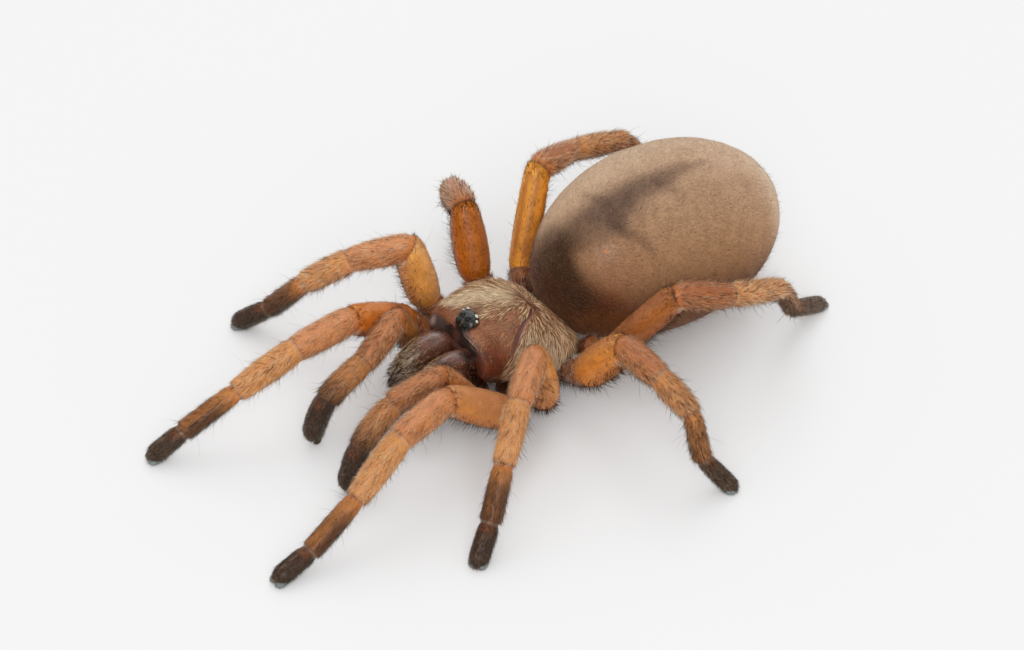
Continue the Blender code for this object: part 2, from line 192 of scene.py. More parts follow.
def ripple(points: Array, size: float, seed: int) -> Array:
    """Give a smooth irregular field, a sum of nine sine waves, about -1 to 1.

    Args:
        points: where to read it, in mm.
        size: the waves' usual length in mm.
        seed: picks the waves.

    Returns:
        The field at each point.
    """
    rng = np.random.default_rng(seed)
    waves = unit(rng.normal(size=(9, 3))) * 2 * np.pi / (size * rng.uniform(0.6, 1.7, (9, 1)))
    return np.sin(points @ waves.T + rng.uniform(0, 6.28, 9)).sum(axis=-1) / 3.6


def segment_distance(points: Array, start: Array, end: Array) -> tuple[Array, Array]:
    """Measure how far points lie from a straight line between two ends.

    Args:
        points: places with any leading axes.
        start: one end.
        end: the other end.

    Returns:
        The distance, and the share of the way along at the nearest place.
    """
    start, end = np.asarray(start, float), np.asarray(end, float)
    along = end - start
    share = np.clip(((points - start) @ along) / (along @ along), 0.0, 1.0)
    return np.linalg.norm(points - start - share[..., None] * along, axis=-1), share


@dataclass(frozen=True)
class Place:
    """Where the spider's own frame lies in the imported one, read from the shield's box."""

    shield_front: float = -10.6

    def shift(self) -> Array:
        """Give the step from the spider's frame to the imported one, in mm."""
        low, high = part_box("carapace")
        middle = 0.5 * (low[0] + high[0]) / MM
        return np.array([middle, low[1] / MM - self.shield_front, 0.0])


PLACE_SHIFT = Place().shift()


@dataclass(frozen=True)
class Finish:
    """A surface whose colour and roughness come from the mesh's Tone, with mottle and grain."""

    name: str
    specular: float = 0.5
    coat: float = 0.0
    coat_roughness: float = 0.15
    subsurface: float = 0.0
    subsurface_scale: float = 0.5
    subsurface_radius: Three = (1.0, 0.35, 0.12)
    sheen: float = 0.0
    sheen_roughness: float = 0.4
    mottle: float = 0.15
    mottle_size: float = 0.8
    mottle_detail: float = 3.0
    grain: float = 0.02
    grain_size: float = 0.12
    grain_detail: float = 4.0
    wear: float = 0.15

    def build(self) -> Material:
        """Make the material.

        Returns:
            A Principled material. Colour is Tone times a mottle, roughness is Tone's
            alpha times a fine grain, and the bump is the same grain.
        """
        material = bpy.data.materials.new(self.name)
        material.use_nodes = True
        nodes, links = material.node_tree.nodes, material.node_tree.links
        shader = nodes["Principled BSDF"]
        for socket, value in (
            ("Specular IOR Level", self.specular),
            ("Coat Weight", self.coat),
            ("Coat Roughness", self.coat_roughness),
            ("Subsurface Weight", self.subsurface),
            ("Subsurface Scale", self.subsurface_scale * MM),
            ("Subsurface Radius", self.subsurface_radius),
            ("Sheen Weight", self.sheen),
            ("Sheen Roughness", self.sheen_roughness),
        ):
            shader.inputs[socket].default_value = value
        tone = nodes.new("ShaderNodeAttribute")
        tone.attribute_name = "Tone"
        place = nodes.new("ShaderNodeTexCoord").outputs["Object"]
        mottle = self.noise(nodes, links, place, self.mottle_size, self.mottle_detail)
        colour = nodes.new("ShaderNodeMix")
        colour.data_type, colour.blend_type = "RGBA", "MULTIPLY"
        colour.inputs["Factor"].default_value = 1.0
        links.new(tone.outputs["Color"], colour.inputs["A"])
        links.new(self.spread(nodes, links, mottle, self.mottle), colour.inputs["B"])
        links.new(colour.outputs["Result"], shader.inputs["Base Color"])
        grain = self.noise(nodes, links, place, self.grain_size, self.grain_detail)
        worn = nodes.new("ShaderNodeMath")
        worn.operation = "MULTIPLY"
        links.new(tone.outputs["Alpha"], worn.inputs[0])
        links.new(self.spread(nodes, links, grain, self.wear), worn.inputs[1])
        links.new(worn.outputs["Value"], shader.inputs["Roughness"])
        bump = nodes.new("ShaderNodeBump")
        bump.inputs["Distance"].default_value = self.grain * MM
        links.new(grain, bump.inputs["Height"])
        links.new(bump.outputs["Normal"], shader.inputs["Normal"])
        return material

    @staticmethod
    def noise(nodes: Nodes, links: Links, place: Socket, size: float, detail: float) -> Socket:
        """Add a noise.

        Args:
            nodes: the material's nodes.
            links: its links.
            place: the coordinates.
            size: a wave's length in mm.
            detail: octaves.

        Returns:
            The noise's value.
        """
        noise = nodes.new("ShaderNodeTexNoise")
        noise.inputs["Scale"].default_value = 1 / (size * MM)
        noise.inputs["Detail"].default_value = detail
        links.new(place, noise.inputs["Vector"])
        return noise.outputs["Fac"]

    @staticmethod
    def spread(nodes: Nodes, links: Links, value: Socket, amount: float) -> Socket:
        """Map a noise's usual range onto one less to one more than the amount.

        Args:
            nodes: the material's nodes.
            links: its links.
            value: the noise.
            amount: how far from one the mapped value goes.

        Returns:
            The mapped value.
        """
        mapped = nodes.new("ShaderNodeMapRange")
        ends = (*NOISE_RANGE, 1 - amount, 1 + amount)
        for socket, number in zip(("From Min", "From Max", "To Min", "To Max"), ends):
            mapped.inputs[socket].default_value = number
        links.new(value, mapped.inputs["Value"])
        return mapped.outputs["Result"]


class Wardrobe:
    """The finishes, each made once."""

    def __init__(self) -> None:
        """Make every material."""
        self.shield = Finish(
            "shield_cuticle", specular=0.28, coat=0.12, coat_roughness=0.12, subsurface=0.05, grain=0.012
        ).build()
        self.limb = Finish(
            "limb_cuticle", specular=0.16, subsurface=0.12, coat=0.05, coat_roughness=0.25, mottle=0.12
        ).build()
        self.jaw = Finish(
            "jaw_cuticle", specular=0.35, coat=0.2, coat_roughness=0.2, grain=0.012, grain_size=0.2
        ).build()
        self.velvet = Finish(
            "abdomen_velvet", specular=0.06, sheen=0.12, mottle=0.13, mottle_size=0.17, grain_size=0.08
        ).build()
        self.hair = Finish("hair", specular=0.12, mottle=0.05, grain=0.0).build()
        self.eye = Finish("eye_glass", specular=0.2, mottle=0.02, grain=0.0).build()
        self.horn = Finish(
            "claw_horn", coat=0.8, coat_roughness=0.08, subsurface=0.1, grain=0.004
        ).build()
        self.floor = Finish(
            "studio_floor", specular=0.2, mottle=0.004, mottle_size=40.0, grain=0.0
        ).build()


def make_mesh(
    name: str, points: Array, faces: list[Array], material: Material, tone: Array,
    uv: Array | None = None, uv_name: str = "Skin",
) -> Object:
    """Put arrays into a smooth mesh object that sits at the origin.

    Args:
        name: the object's name.
        points: (n, 3) places in mm in the spider's frame.
        faces: arrays of corner numbers, one row for each face.
        material: its finish.
        tone: (n, 4) colour and roughness of each point.
        uv: (corners, 2) unwrap, in the order of the faces' corners.
        uv_name: the unwrap's name.

    Returns:
        The object, riding on the body.
    """
    mesh = bpy.data.meshes.new(name)
    corners = np.concatenate([group.ravel() for group in faces]).astype(np.int32)
    sizes = np.concatenate([np.full(len(group), group.shape[1]) for group in faces])
    starts = (np.cumsum(sizes) - sizes).astype(np.int32)
    mesh.vertices.add(len(points))
    mesh.vertices.foreach_set("co", ((points + PLACE_SHIFT) * MM).astype(np.float32).ravel())
    mesh.loops.add(len(corners))
    mesh.loops.foreach_set("vertex_index", corners)
    mesh.polygons.add(len(starts))
    mesh.polygons.foreach_set("loop_start", starts)
    mesh.polygons.foreach_set("use_smooth", np.ones(len(starts), bool))
    mesh.update(calc_edges=True)
    colours = mesh.color_attributes.new("Tone", "FLOAT_COLOR", "POINT")
    colours.data.foreach_set("color", tone.astype(np.float32).ravel())
    if uv is not None:
        layer = mesh.uv_layers.new(name=uv_name)
        layer.uv.foreach_set("vector", uv.astype(np.float32).ravel())
    mesh.materials.append(material)
    obj = bpy.data.objects.new(name, mesh)
    bpy.context.scene.collection.objects.link(obj)
    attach(obj, BODY)
    return obj


@dataclass
class Roots:
    """Where hairs grow: one row for each."""

    place: Array
    normal: Array
    lie: Array
    tone: Array
    uv: Array


@dataclass
class Skin:
    """A closed surface made of rings: rows run along it, columns round it, a point ends it."""

    points: Array
    tone: Array
    lie: Array

    def outward(self) -> tuple[Array, bool]:
        """Work out the normals as the product of the steps round and along.

        Returns:
            The normals, and whether the plain order of the faces already looks outwards.
        """
        points = self.points
        round_step = np.roll(points, -1, axis=1) - np.roll(points, 1, axis=1)
        normal = unit(np.cross(round_step, np.gradient(points, axis=0)))
        centre = points.mean(axis=1, keepdims=True)
        plain = bool(np.sum(normal * (points - centre)) > 0)
        return (normal if plain else -normal), plain

    def build(self, name: str, material: Material) -> Object:
        """Make the skin's mesh.

        Args:
            name: the object's name.
            material: its finish.

        Returns:
            The object.
        """
        rows, columns = self.points.shape[:2]
        index = np.arange(rows * columns).reshape(rows, columns)
        beside = np.roll(index, -1, axis=1)
        quads = np.stack([index[:-1], beside[:-1], beside[1:], index[1:]], axis=-1).reshape(-1, 4)
        first, last = rows * columns, rows * columns + 1
        front = np.stack([beside[0], index[0], np.full(columns, first)], axis=-1)
        rear = np.stack([index[-1], beside[-1], np.full(columns, last)], axis=-1)
        u, v = np.meshgrid(np.arange(columns + 1) / columns, np.linspace(0, 1, rows))
        grid = np.stack([u, v], axis=-1)
        quad_uv = np.stack([grid[:-1, :-1], grid[:-1, 1:], grid[1:, 1:], grid[1:, :-1]], axis=2)
        quad_uv = quad_uv.reshape(-1, 4, 2)
        pole = 0.5 * (grid[0, 1:] + grid[0, :-1])
        front_uv = np.stack([grid[0, 1:], grid[0, :-1], pole], axis=1)
        rear_uv = np.stack([grid[-1, :-1], grid[-1, 1:], pole + [0, 1]], axis=1)
        faces, unwrap = [quads, front, rear], [quad_uv, front_uv, rear_uv]
        if not self.outward()[1]:
            faces, unwrap = [group[:, ::-1] for group in faces], [group[:, ::-1] for group in unwrap]
        points = np.concatenate([self.points.reshape(-1, 3), self.points[[0, -1]].mean(axis=1)])
        tone = np.concatenate([self.tone.reshape(-1, 4), self.tone[[0, -1]].mean(axis=1)])
        corners = np.concatenate([group.reshape(-1, 2) for group in unwrap])
        return make_mesh(name, points, faces, material, tone, corners)

    def cell_areas(self) -> Array:
        """Give each cell's area, in mm2."""
        wide = np.roll(self.points, -1, axis=1)[:-1] - self.points[:-1]
        return np.linalg.norm(np.cross(wide, self.points[1:] - self.points[:-1]), axis=-1)

    def scatter(self, density: Array | float, rng: np.random.Generator) -> Roots:
        """Draw places all over the skin, as many to a mm2 as density says.

        Args:
            density: hairs to a mm2, one number or one for each grid point.
            rng: the seeded generator.

        Returns:
            The roots, with everything interpolated across the cells.
        """
        rows, columns = self.points.shape[:2]
        share = self.cell_areas() * np.broadcast_to(density, (rows, columns))[:-1]
        total = share.sum()
        count = int(total)
        cell = rng.choice(share.size, size=count, p=(share / total).ravel())
        row, column = np.divmod(cell, columns)
        s, t = rng.random(count), rng.random(count)
        beside = (column + 1) % columns
        normal, _ = self.outward()
        values = np.concatenate([self.points, normal, self.lie, self.tone], axis=-1)
        low = values[row, column] * (1 - s)[:, None] + values[row, beside] * s[:, None]
        high = values[row + 1, column] * (1 - s)[:, None] + values[row + 1, beside] * s[:, None]
        mixed = low * (1 - t)[:, None] + high * t[:, None]
        uv = np.stack([(column + s) / columns, (row + t) / (rows - 1)], axis=-1)
        return Roots(mixed[:, :3], unit(mixed[:, 3:6]), unit(mixed[:, 6:9]), mixed[:, 9:], uv)


@dataclass(frozen=True)
class HairStyle:
    """How one kind of hair grows. Lengths are mm and angles degrees."""

    length: float
    radius: float
    rise: float
    droop: float = 20.0
    stray: float = 12.0
    spread: float = 0.25
    bent: bool = True
    tone: Tone | None = None
    tip: float = 1.2
    vary: float = 0.18


HairGroup = tuple[Array, Array, Array, Array]  # points, faces, tones and places on the unwrap


class Coat:
    """Hairs gathered for one piece of the coat: closed spikes with three sides."""

    def __init__(self, rng: np.random.Generator) -> None:
        """Start an empty coat that draws from the generator."""
        self.rng = rng
        self.groups: list[HairGroup] = []

    def grow(self, roots: Roots, style: HairStyle) -> None:
        """Grow one hair from each root.

        A hair starts along its lie, raised from the skin by its rise, and leans back by
        its droop halfway. Its three-sided base is sunk in the skin and its end is a point.

        Args:
            roots: where they grow.
            style: how they look.
        """
        rng, count = self.rng, len(roots.place)
        across = unit(np.cross(roots.normal, roots.lie))
        lie = unit(np.cross(across, roots.normal))
        aside = np.radians(rng.normal(0, style.stray, count))[:, None]
        lie = lie * np.cos(aside) + across * np.sin(aside)
        rise = np.radians(style.rise * (1 + rng.normal(0, HAIR_VARY, count)))[:, None]
        lean = rise - np.radians(style.droop)
        first = lie * np.cos(rise) + roots.normal * np.sin(rise)
        second = lie * np.cos(lean) + roots.normal * np.sin(lean)
        length = style.length * np.exp(rng.normal(0, style.spread, count))[:, None]
        side = unit(np.cross(first, roots.normal + 0.01 * across))
        over = np.cross(side, first)
        radius = style.radius
        ring = np.stack([-side * radius, side * radius, over * radius * HAIR_SINK], axis=1)
        base = roots.place - roots.normal * radius * HAIR_SINK
        if style.bent:
            middle = base + first * length * 0.5
            tip = middle + second * length * 0.5
            waist = middle[:, None] + HAIR_WAIST * ring
            points = np.concatenate([base[:, None] + ring, waist, tip[:, None]], axis=1)
            faces, shade = BENT_FACES, np.array([0.75, 0.75, 0.75, 1.0, 1.0, 1.0, style.tip])
        else:
            tip = base + first * length
            points = np.concatenate([base[:, None] + ring, tip[:, None]], axis=1)
            faces, shade = STRAIGHT_FACES, np.array([0.85, 0.85, 0.85, style.tip])
        points[..., 2] = np.maximum(points[..., 2], HAIR_FLOOR)
        tone = np.array(roots.tone if style.tone is None else np.tile(style.tone, (count, 1)))
        tone[:, :3] *= np.exp(rng.normal(0, style.vary, (count, 1)))
        tone = np.repeat(tone[:, None], points.shape[1], axis=1)
        tone[..., :3] *= shade[:, None]
        self.groups.append((points, np.array(faces), np.clip(tone, 0.0, 1.0), roots.uv))

    def cover(self, skin: Skin, density: Array | float, style: HairStyle) -> None:
        """Grow one kind of hair over a skin, as many to a mm2 as density says."""
        self.grow(skin.scatter(density, self.rng), style)

    def build(self, name: str, material: Material) -> list[Object]:
        """Make the coat's meshes, each under the most triangles.

        Args:
            name: the first mesh's name.
            material: the hair's finish.

        Returns:
            The objects.
        """
        pieces: list[list[HairGroup]] = [[]]
        room = MOST_COAT_TRIANGLES
        for points, faces, tone, uv in self.groups:
            start = 0
            while start < len(points):
                take = min(len(points) - start, room // len(faces))
                if take < 1:
                    pieces.append([])
                    room = MOST_COAT_TRIANGLES
                    continue
                cut = slice(start, start + take)
                pieces[-1].append((points[cut], faces, tone[cut], uv[cut]))
                start += take
                room -= take * len(faces)
        made = []
        for number, groups in enumerate(pieces):
            label = name if number == 0 else f"{name}_{number + 1}"
            made.append(self.join(label, groups, material))
        return made

    @staticmethod
    def join(name: str, groups: list[HairGroup], material: Material) -> Object:
        """Join groups of hairs into one mesh, with each hair's patch on the unwrap.

        Args:
            name: the object's name.
            groups: points, faces, tones and roots' places on the unwrap.
            material: the hair's finish.

        Returns:
            The object.
        """
        all_points, all_faces, all_tones, all_uv = [], [], [], []
        offset = 0
        for points, faces, tone, uv in groups:
            count, corners = points.shape[:2]
            numbers = offset + (np.arange(count) * corners)[:, None, None] + faces[None]
            offset += count * corners
            turn = np.arange(corners) * 2 * np.pi / corners
            patch = PATCH_HALF * np.stack([np.cos(turn), np.sin(turn)], axis=-1)
            spots = np.clip(uv, PATCH_HALF, 1 - PATCH_HALF)[:, None] + patch[None]
            all_points.append(points.reshape(-1, 3))
            all_faces.append(numbers.reshape(-1, 3))
            all_tones.append(tone.reshape(-1, 4))
            all_uv.append(spots[:, faces.ravel()].reshape(-1, 2))
        faces = np.concatenate(all_faces)
        points = np.concatenate(all_points)
        tones, spots = np.concatenate(all_tones), np.concatenate(all_uv)
        return make_mesh(name, points, [faces], material, tones, spots, "OFBake")


@dataclass
class Shield:
    """The shield over the front half: a vault with a rolled glossy brow, furrows and an eye mound.

    Two strips, one along the crest and one along a side, hold painted sheen: their long hair is painted
    paler, and the crest strip grows more of it.
    """

    y: tuple[float, ...] = (-10.6, -10.2, -9.4, -8.3, -7.0, -5.7, -4.6, -3.7, -2.9, -2.2, -1.6)
    half_width: tuple[float, ...] = (3.3, 3.5, 3.75, 4.05, 4.33, 4.42, 4.3, 3.85, 3.15, 2.35, 1.45)
    top: tuple[float, ...] = (6.0, 6.4, 6.75, 6.95, 6.9, 6.6, 6.15, 5.45, 4.5, 3.55, 2.85)
    edge: tuple[float, ...] = (5.0, 4.85, 4.5, 4.1, 3.8, 3.65, 3.6, 3.5, 3.3, 2.95, 2.55)
    rim: float = 0.35
    fullness: float = 0.66
    keel_half: float = 1.5
    keel_bottom: float = 2.05
    brow_reach: float = 0.55
    brow_drop: float = 0.95
    mound: tuple[float, float] = (0.0, -9.68)
    mound_half: tuple[float, float] = (0.98, 0.76)
    mound_rise: float = 0.66
    fovea: tuple[float, float] = (0.0, -4.65)
    furrow_start: tuple[float, float] = (0.95, -4.6)
    furrow_bow: tuple[float, float] = (2.35, -6.75)
    furrow_end: tuple[float, float] = (3.75, -8.8)
    furrow_half: float = 0.17
    furrow_depth: float = 0.11
    pit_depth: float = 0.2
    rays: int = 7
    ray_depth: float = 0.05
    ribs: int = 24
    rib_height: float = 0.016
    # ends of the two strips of painted sheen on the long hair
    painted_sheen_crest: Trail = ((-2.3, -9.0), (-0.4, -5.8))
    painted_sheen_side: Trail = ((3.2, -7.4), (4.4, -5.2))
    rows: int = 190
    brow_rows: int = 30
    top_columns: int = 240
    keel_columns: int = 14

    def height(self, x: Array, y: Array) -> Array:
        """Give the vault's height: the edge plus a rounded share of the rise, plus the mound.

        Args:
            x: across.
            y: along.

        Returns:
            The height there.
        """
        half = smooth_through(self.y, self.half_width, y)
        top = smooth_through(self.y, self.top, y)
        edge = smooth_through(self.y, self.edge, y)
        across = np.clip(np.abs(x) / half, 0.0, 1.0)
        vault = edge + (top - edge) * np.sqrt(1 - across**2) ** self.fullness
        return vault + self.mound_rise * self.dome(x, y)

    def dome(self, x: Array, y: Array) -> Array:
        """Give the mound's height as a share of its rise."""
        return np.clip(1 - self.mound_reach(x, y) ** 2, 0.0, 1.0) ** 0.75

    def drop(self, x: Array, y: Array) -> Array:
        """Give how far the brow hangs below the vault: a quarter ellipse, less under the mound.

        Args:
            x: across.
            y: along.

        Returns:
            The drop there, none behind the brow.
        """
        half = smooth_through(self.y, self.half_width, y)
        rolled = np.clip(1 - (y - self.y[0]) / self.brow_reach, 0.0, 1.0)
        level = 1 - np.sqrt(1 - rolled**2)
        across = np.clip(np.abs(x) / half, 0.0, 1.0)
        return self.brow_drop * level * (1 + 0.3 * across**2) * (1 - 0.8 * self.dome(x, y))

    def mound_reach(self, x: Array, y: Array) -> Array:
        """Give the squared distance from the mound's middle, 1 at its half-widths."""
        (middle_x, middle_y), (half_x, half_y) = self.mound, self.mound_half
        return ((x - middle_x) / half_x) ** 2 + ((y - middle_y) / half_y) ** 2

    def furrow_distance(self, x: Array, y: Array) -> tuple[Array, Array]:
        """Measure how far places lie from the nearer furrow.

        Args:
            x: across.
            y: along.

        Returns:
            The distance to the furrow from beside the pit over its bow to its end, more on
            the right where it is overgrown, and the share of the way along it.
        """
        spot = np.stack([np.abs(x), y], axis=-1)
        near, near_share = segment_distance(spot, np.array(self.furrow_start), np.array(self.furrow_bow))
        far, far_share = segment_distance(spot, np.array(self.furrow_bow), np.array(self.furrow_end))
        overgrown = 0.2 * ease(0.0, -0.5, x)
        share = np.where(near < far, 0.5 * near_share, 0.5 + 0.5 * far_share)
        return np.minimum(near, far) + overgrown, share

    def streaks(self, points: Array, size: float, seed: int) -> Array:
        """Give a field that runs in streaks away from the pit.

        Args:
            points: where.
            size: how wide the streaks are, in mm.
            seed: picks them.

        Returns:
            The field, about -1 to 1.
        """
        x, y = points[..., 0] - self.fovea[0], points[..., 1] - self.fovea[1]
        away = np.hypot(x, y)
        angle = np.arctan2(x, y)
        return ripple(placed(3.2 * np.cos(angle), 3.2 * np.sin(angle), 0.22 * away), size, seed)

    def rib_wave(self, turned: Array, x: Array) -> Array:
        """Give the ribs' cosine wave, which bends a little across the brow."""
        return np.cos(self.ribs * turned + 0.8 * np.sin(1.7 * x + 0.6))

    def skin(self) -> Skin:
        """Work out the shield's rings.

        Each ring is the vault above and a keel below. At the front the vault rolls down
        over a quarter ellipse, ribbed along its length. The furrows, the pit and faint rays
        are pressed into it.

        Returns:
            The skin, with its tones and its lie of hair away from the pit.
        """
        front, rear = self.y[0], self.y[-1]
        roll = np.radians(np.linspace(0, 90, self.brow_rows))[:-1]
        y = np.concatenate([
            front + self.brow_reach * (1 - np.cos(roll)),
            np.linspace(front + self.brow_reach, rear, self.rows),
        ])
        turned = np.concatenate([roll, np.full(self.rows, np.pi / 2)])[:, None]
        half = smooth_through(self.y, self.half_width, y)[:, None]
        edge = smooth_through(self.y, self.edge, y)
        turn = np.radians(np.linspace(-90, 90, self.top_columns))
        across = np.sin(turn)[None, :]
        across_y = np.repeat(y[:, None], self.top_columns, axis=1)
        drop = self.drop(half * across, across_y)
        x = (half - 0.3 * drop) * across
        z = self.height(x, across_y) - drop
        furrow, share = self.furrow_distance(x, across_y)
        pit = np.hypot((x - self.fovea[0]) / 0.55, (across_y - self.fovea[1] - 0.25 * x**2) / 0.16)
        angle = np.arctan2(x - self.fovea[0], across_y - self.fovea[1])
        away = np.hypot(x - self.fovea[0], across_y - self.fovea[1])
        behind = ease(-5.6, -4.0, across_y) * ease(0.5, 1.2, away) * (1 - ease(2.4, 3.6, away))
        z = z - self.furrow_depth * bell(furrow, self.furrow_half) * (1 - 0.6 * share)
        z = z - self.pit_depth * bell(pit, 1.0)
        z = z - self.ray_depth * behind * np.cos(self.rays * angle) ** 8
        ribbed = ease(1.57, 1.2, turned) * ease(0.1, 0.4, turned)
        ribs = self.rib_height * ribbed * self.rib_wave(turned, x) * (0.6 + 0.4 * np.cos(1.3 * x))
        z = z + ribs * np.sin(turned) + 0.06 * bell(across_y - front - self.brow_reach, 0.2)
        across_y = across_y - ribs * np.cos(turned)
        above = np.stack([x, across_y, z], axis=-1)
        under = np.linspace(1, 0, self.keel_columns)[1:]
        keel = np.minimum(self.keel_half, 0.4 * half)
        low = edge[:, None] - self.rim - 0.6 * drop[:, -1:]
        under_x = keel + (half - keel) * under
        under_z = self.keel_bottom + (low - self.keel_bottom) * under
        right = np.stack([under_x, np.repeat(y[:, None], len(under), axis=1), under_z], axis=-1)
        left = right[:, ::-1] * np.array([-1, 1, 1])
        points = np.concatenate([above, right, left], axis=1)
        return self.dressed(points, np.repeat(turned, points.shape[1], axis=1), furrow, share, pit)

    def dressed(self, points: Array, turned: Array, furrow: Array, along: Array, pit: Array) -> Skin:
        """Give the rings their tones.

        Args:
            points: the rings.
            turned: how far each ring has rolled up over the brow, a quarter turn on the vault.
            furrow: distance to a furrow at each point of the vault.
            along: the share of the way along it.
            pit: distance from the pit there, 1 at its rim.

        Returns:
            The skin.
        """
        x, y, z = np.moveaxis(points, -1, 0)
        head, rear = (0.24, 0.078, 0.030, 0.42), (0.22, 0.085, 0.036, 0.5)
        tone = blend(head, rear, ease(-7.5, -4.5, y))
        tone = blend(tone, (0.16, 0.030, 0.008, 0.26), 0.8 * ease(-8.2, -9.6, y) * ease(1.3, 2.6, np.abs(x)))
        tone = blend(tone, (0.17, 0.055, 0.025, 0.34), 0.7 * ease(4.6, 3.9, z))
        brighten(tone, 1 + 0.16 * ripple(points, 1.4, 3) + 0.22 * self.streaks(points, 0.4, 4))
        wide = furrow.shape[1]
        bare = ease(self.furrow_half * 1.25, self.furrow_half * 0.7, furrow)
        bare = bare * (1 - 0.5 * ease(0.8, 1.0, along))
        tone[:, :wide] = blend(tone[:, :wide], (0.095, 0.028, 0.017, 0.55), bare)
        tone[:, :wide] = blend(tone[:, :wide], (0.03, 0.015, 0.01, 0.5), bell(pit, 0.9))
        skirt = (0.12, 0.036, 0.020, 0.2)
        core = blend((0.020, 0.010, 0.009, 0.1), (0.075, 0.024, 0.012, 0.12), 0.7 * bell(x + 0.2, 0.35))
        core = blend(core, (0.11, 0.028, 0.010, 0.12), 0.8 * ease(1.9, 2.5, x))
        # towards -x the core is painted grey: painted sheen
        core = blend(core, (0.062, 0.048, 0.042, 0.14), ease(-1.0, -2.0, x))
        front = ease(3.9, 4.4, z)
        brow = ease(1.56, 0.95, turned + np.where(x < 0, 0.3, 0.0)) * front
        tone = blend(tone, skirt, brow)
        tone = blend(tone, (0.20, 0.048, 0.012, 0.2), 0.6 * brow * ease(2.8, 3.3, x))
        middle = ease(3.1, 2.4, x) * ease(3.42, 3.1, -x) * front
        upper = 0.75 * ease(1.5, 1.3, turned) * middle * ease(-1.6, -0.6, x)
        tone = blend(tone, (0.115, 0.055, 0.050, 0.14), upper)
        band = turned - 0.9 + np.where(x > 0, 0.03, -0.01) * x**2
        tone = blend(tone, core, ease(0.26, 0.06, band) * ease(-0.9, -0.6, band) * middle)
        crest = ease(0.3, 0.9, self.rib_wave(turned, x))
        glint = 0.7 * crest * bell(band - 0.2, 0.2) * bell(x - 1.3, 0.6)
        tone = blend(tone, (0.42, 0.34, 0.32, 0.12), glint)
        # a pale lump at the far end of the brow: painted sheen
        painted_sheen_lump = 0.85 * bell(x + 2.95, 0.3) * brow * ease(0.2, 0.6, turned)
        tone = blend(tone, (0.36, 0.28, 0.25, 0.3), painted_sheen_lump)
        mound = ease(1.02, 0.82, self.mound_reach(x, y)) * (z > 5.6)
        black = np.array((0.005, 0.005, 0.004, 0.2)) * np.ones_like(tone)
        rays = 0.5 + 0.5 * np.cos(19 * np.arctan2(x - self.mound[0], y - self.mound[1] - 0.1))
        brighten(black, 1 + 1.5 * rays * ease(0.75, 0.3, self.mound_reach(x, y)))
        flecks = ease(0.35, 0.9, ripple(points, 0.2, 41)) * ease(0.9, 0.6, self.mound_reach(x, y))
        black = blend(black, (0.085, 0.060, 0.036, 0.3), 0.6 * flecks)
        tone = blend(tone, black, mound)
        lie = points - np.array([self.fovea[0], self.fovea[1], 5.4])
        return Skin(points, tone, unit(lie))

    def coat(self, skin: Skin, coat: Coat) -> None:
        """Grow the shield's hair: long pale strands behind, short fine ones over the head.

        Args:
            skin: the shield's skin.
            coat: where to grow it.
        """
        x, y, z = np.moveaxis(skin.points, -1, 0)
        furrow, along = self.furrow_distance(x, y)
        free = ease(self.furrow_half * 0.9, self.furrow_half * 1.4, furrow + 0.3 * ease(0.85, 1.0, along))
        free *= ease(1.15, 1.5, self.mound_reach(x, y)) * ease(self.y[0] + 0.2, self.y[0] + 0.5, y)
        free *= ease(3.1, 3.5, z)
        spot = np.stack([np.abs(x), y], axis=-1)
        leading, _ = segment_distance(spot, np.array((0.0, -4.3)), np.array((4.1, -9.0)))
        ahead = ease(-0.3, 0.3, leading * np.sign(-(y + 4.3) - 1.146 * np.abs(x)))
        ridge = ease(-0.6, -1.6, x) * ease(-4.4, -3.4, x) * ease(-9.4, -8.6, y)
        ridge = ridge + bell(x + 0.3, 1.1) * ease(-9.0, -7.6, y)
        lit = bell(segment_distance(skin.points[..., :2], *self.painted_sheen_crest)[0], 0.9)
        free *= ease(0.1, 0.5, np.hypot(x - self.fovea[0], y - self.fovea[1]))
        back = np.clip(1 - ahead + 0.6 * ridge, 0.0, 1.0)
        clump = 0.6 + 0.4 * ease(-0.5, 0.5, self.streaks(skin.points, 0.25, 8))
        edge = ease(3.4, 4.2, z)
        for density, radius, dark, light, share in (
            (90, 0.016, (0.15, 0.055, 0.024, 0.5), (0.44, 0.23, 0.11, 0.45), 0.45),
            (52, 0.023, (0.58, 0.32, 0.165, 0.45), (1.0, 0.71, 0.44, 0.45), 0.5),
        ):
            thick = density * free * clump * back * (0.5 + 0.5 * edge) * (1 + 0.8 * lit)
            strands = skin.scatter(thick, coat.rng)
            chance = coat.rng.normal(0, 0.3, len(strands.place))
            pale = np.clip(share + 0.35 * ripple(strands.place, 1.3, 10) + chance, 0, 1)
            strands.tone = blend(dark, light, pale)
            # painted sheen: strands near the crest and side strips are painted paler
            painted_strand_sheen = bell(segment_distance(strands.place[:, :2], *self.painted_sheen_crest)[0], 0.8)
            painted_strand_sheen = painted_strand_sheen + 0.7 * bell(segment_distance(strands.place[:, :2], *self.painted_sheen_side)[0], 0.9)
            strands.tone = blend(strands.tone, (1.0, 0.77, 0.51, 0.45), 0.7 * np.minimum(painted_strand_sheen, 1.0))
            coat.grow(strands, HairStyle(0.92, radius, 14, 14, 7, 0.22, vary=0.14))
        velvet = skin.scatter(170 * free * (1 - 0.75 * back), coat.rng)
        chance = coat.rng.normal(0, 0.3, len(velvet.place))
        warm = np.clip(0.5 + 0.3 * ripple(velvet.place, 0.9, 11) + chance, 0, 1)
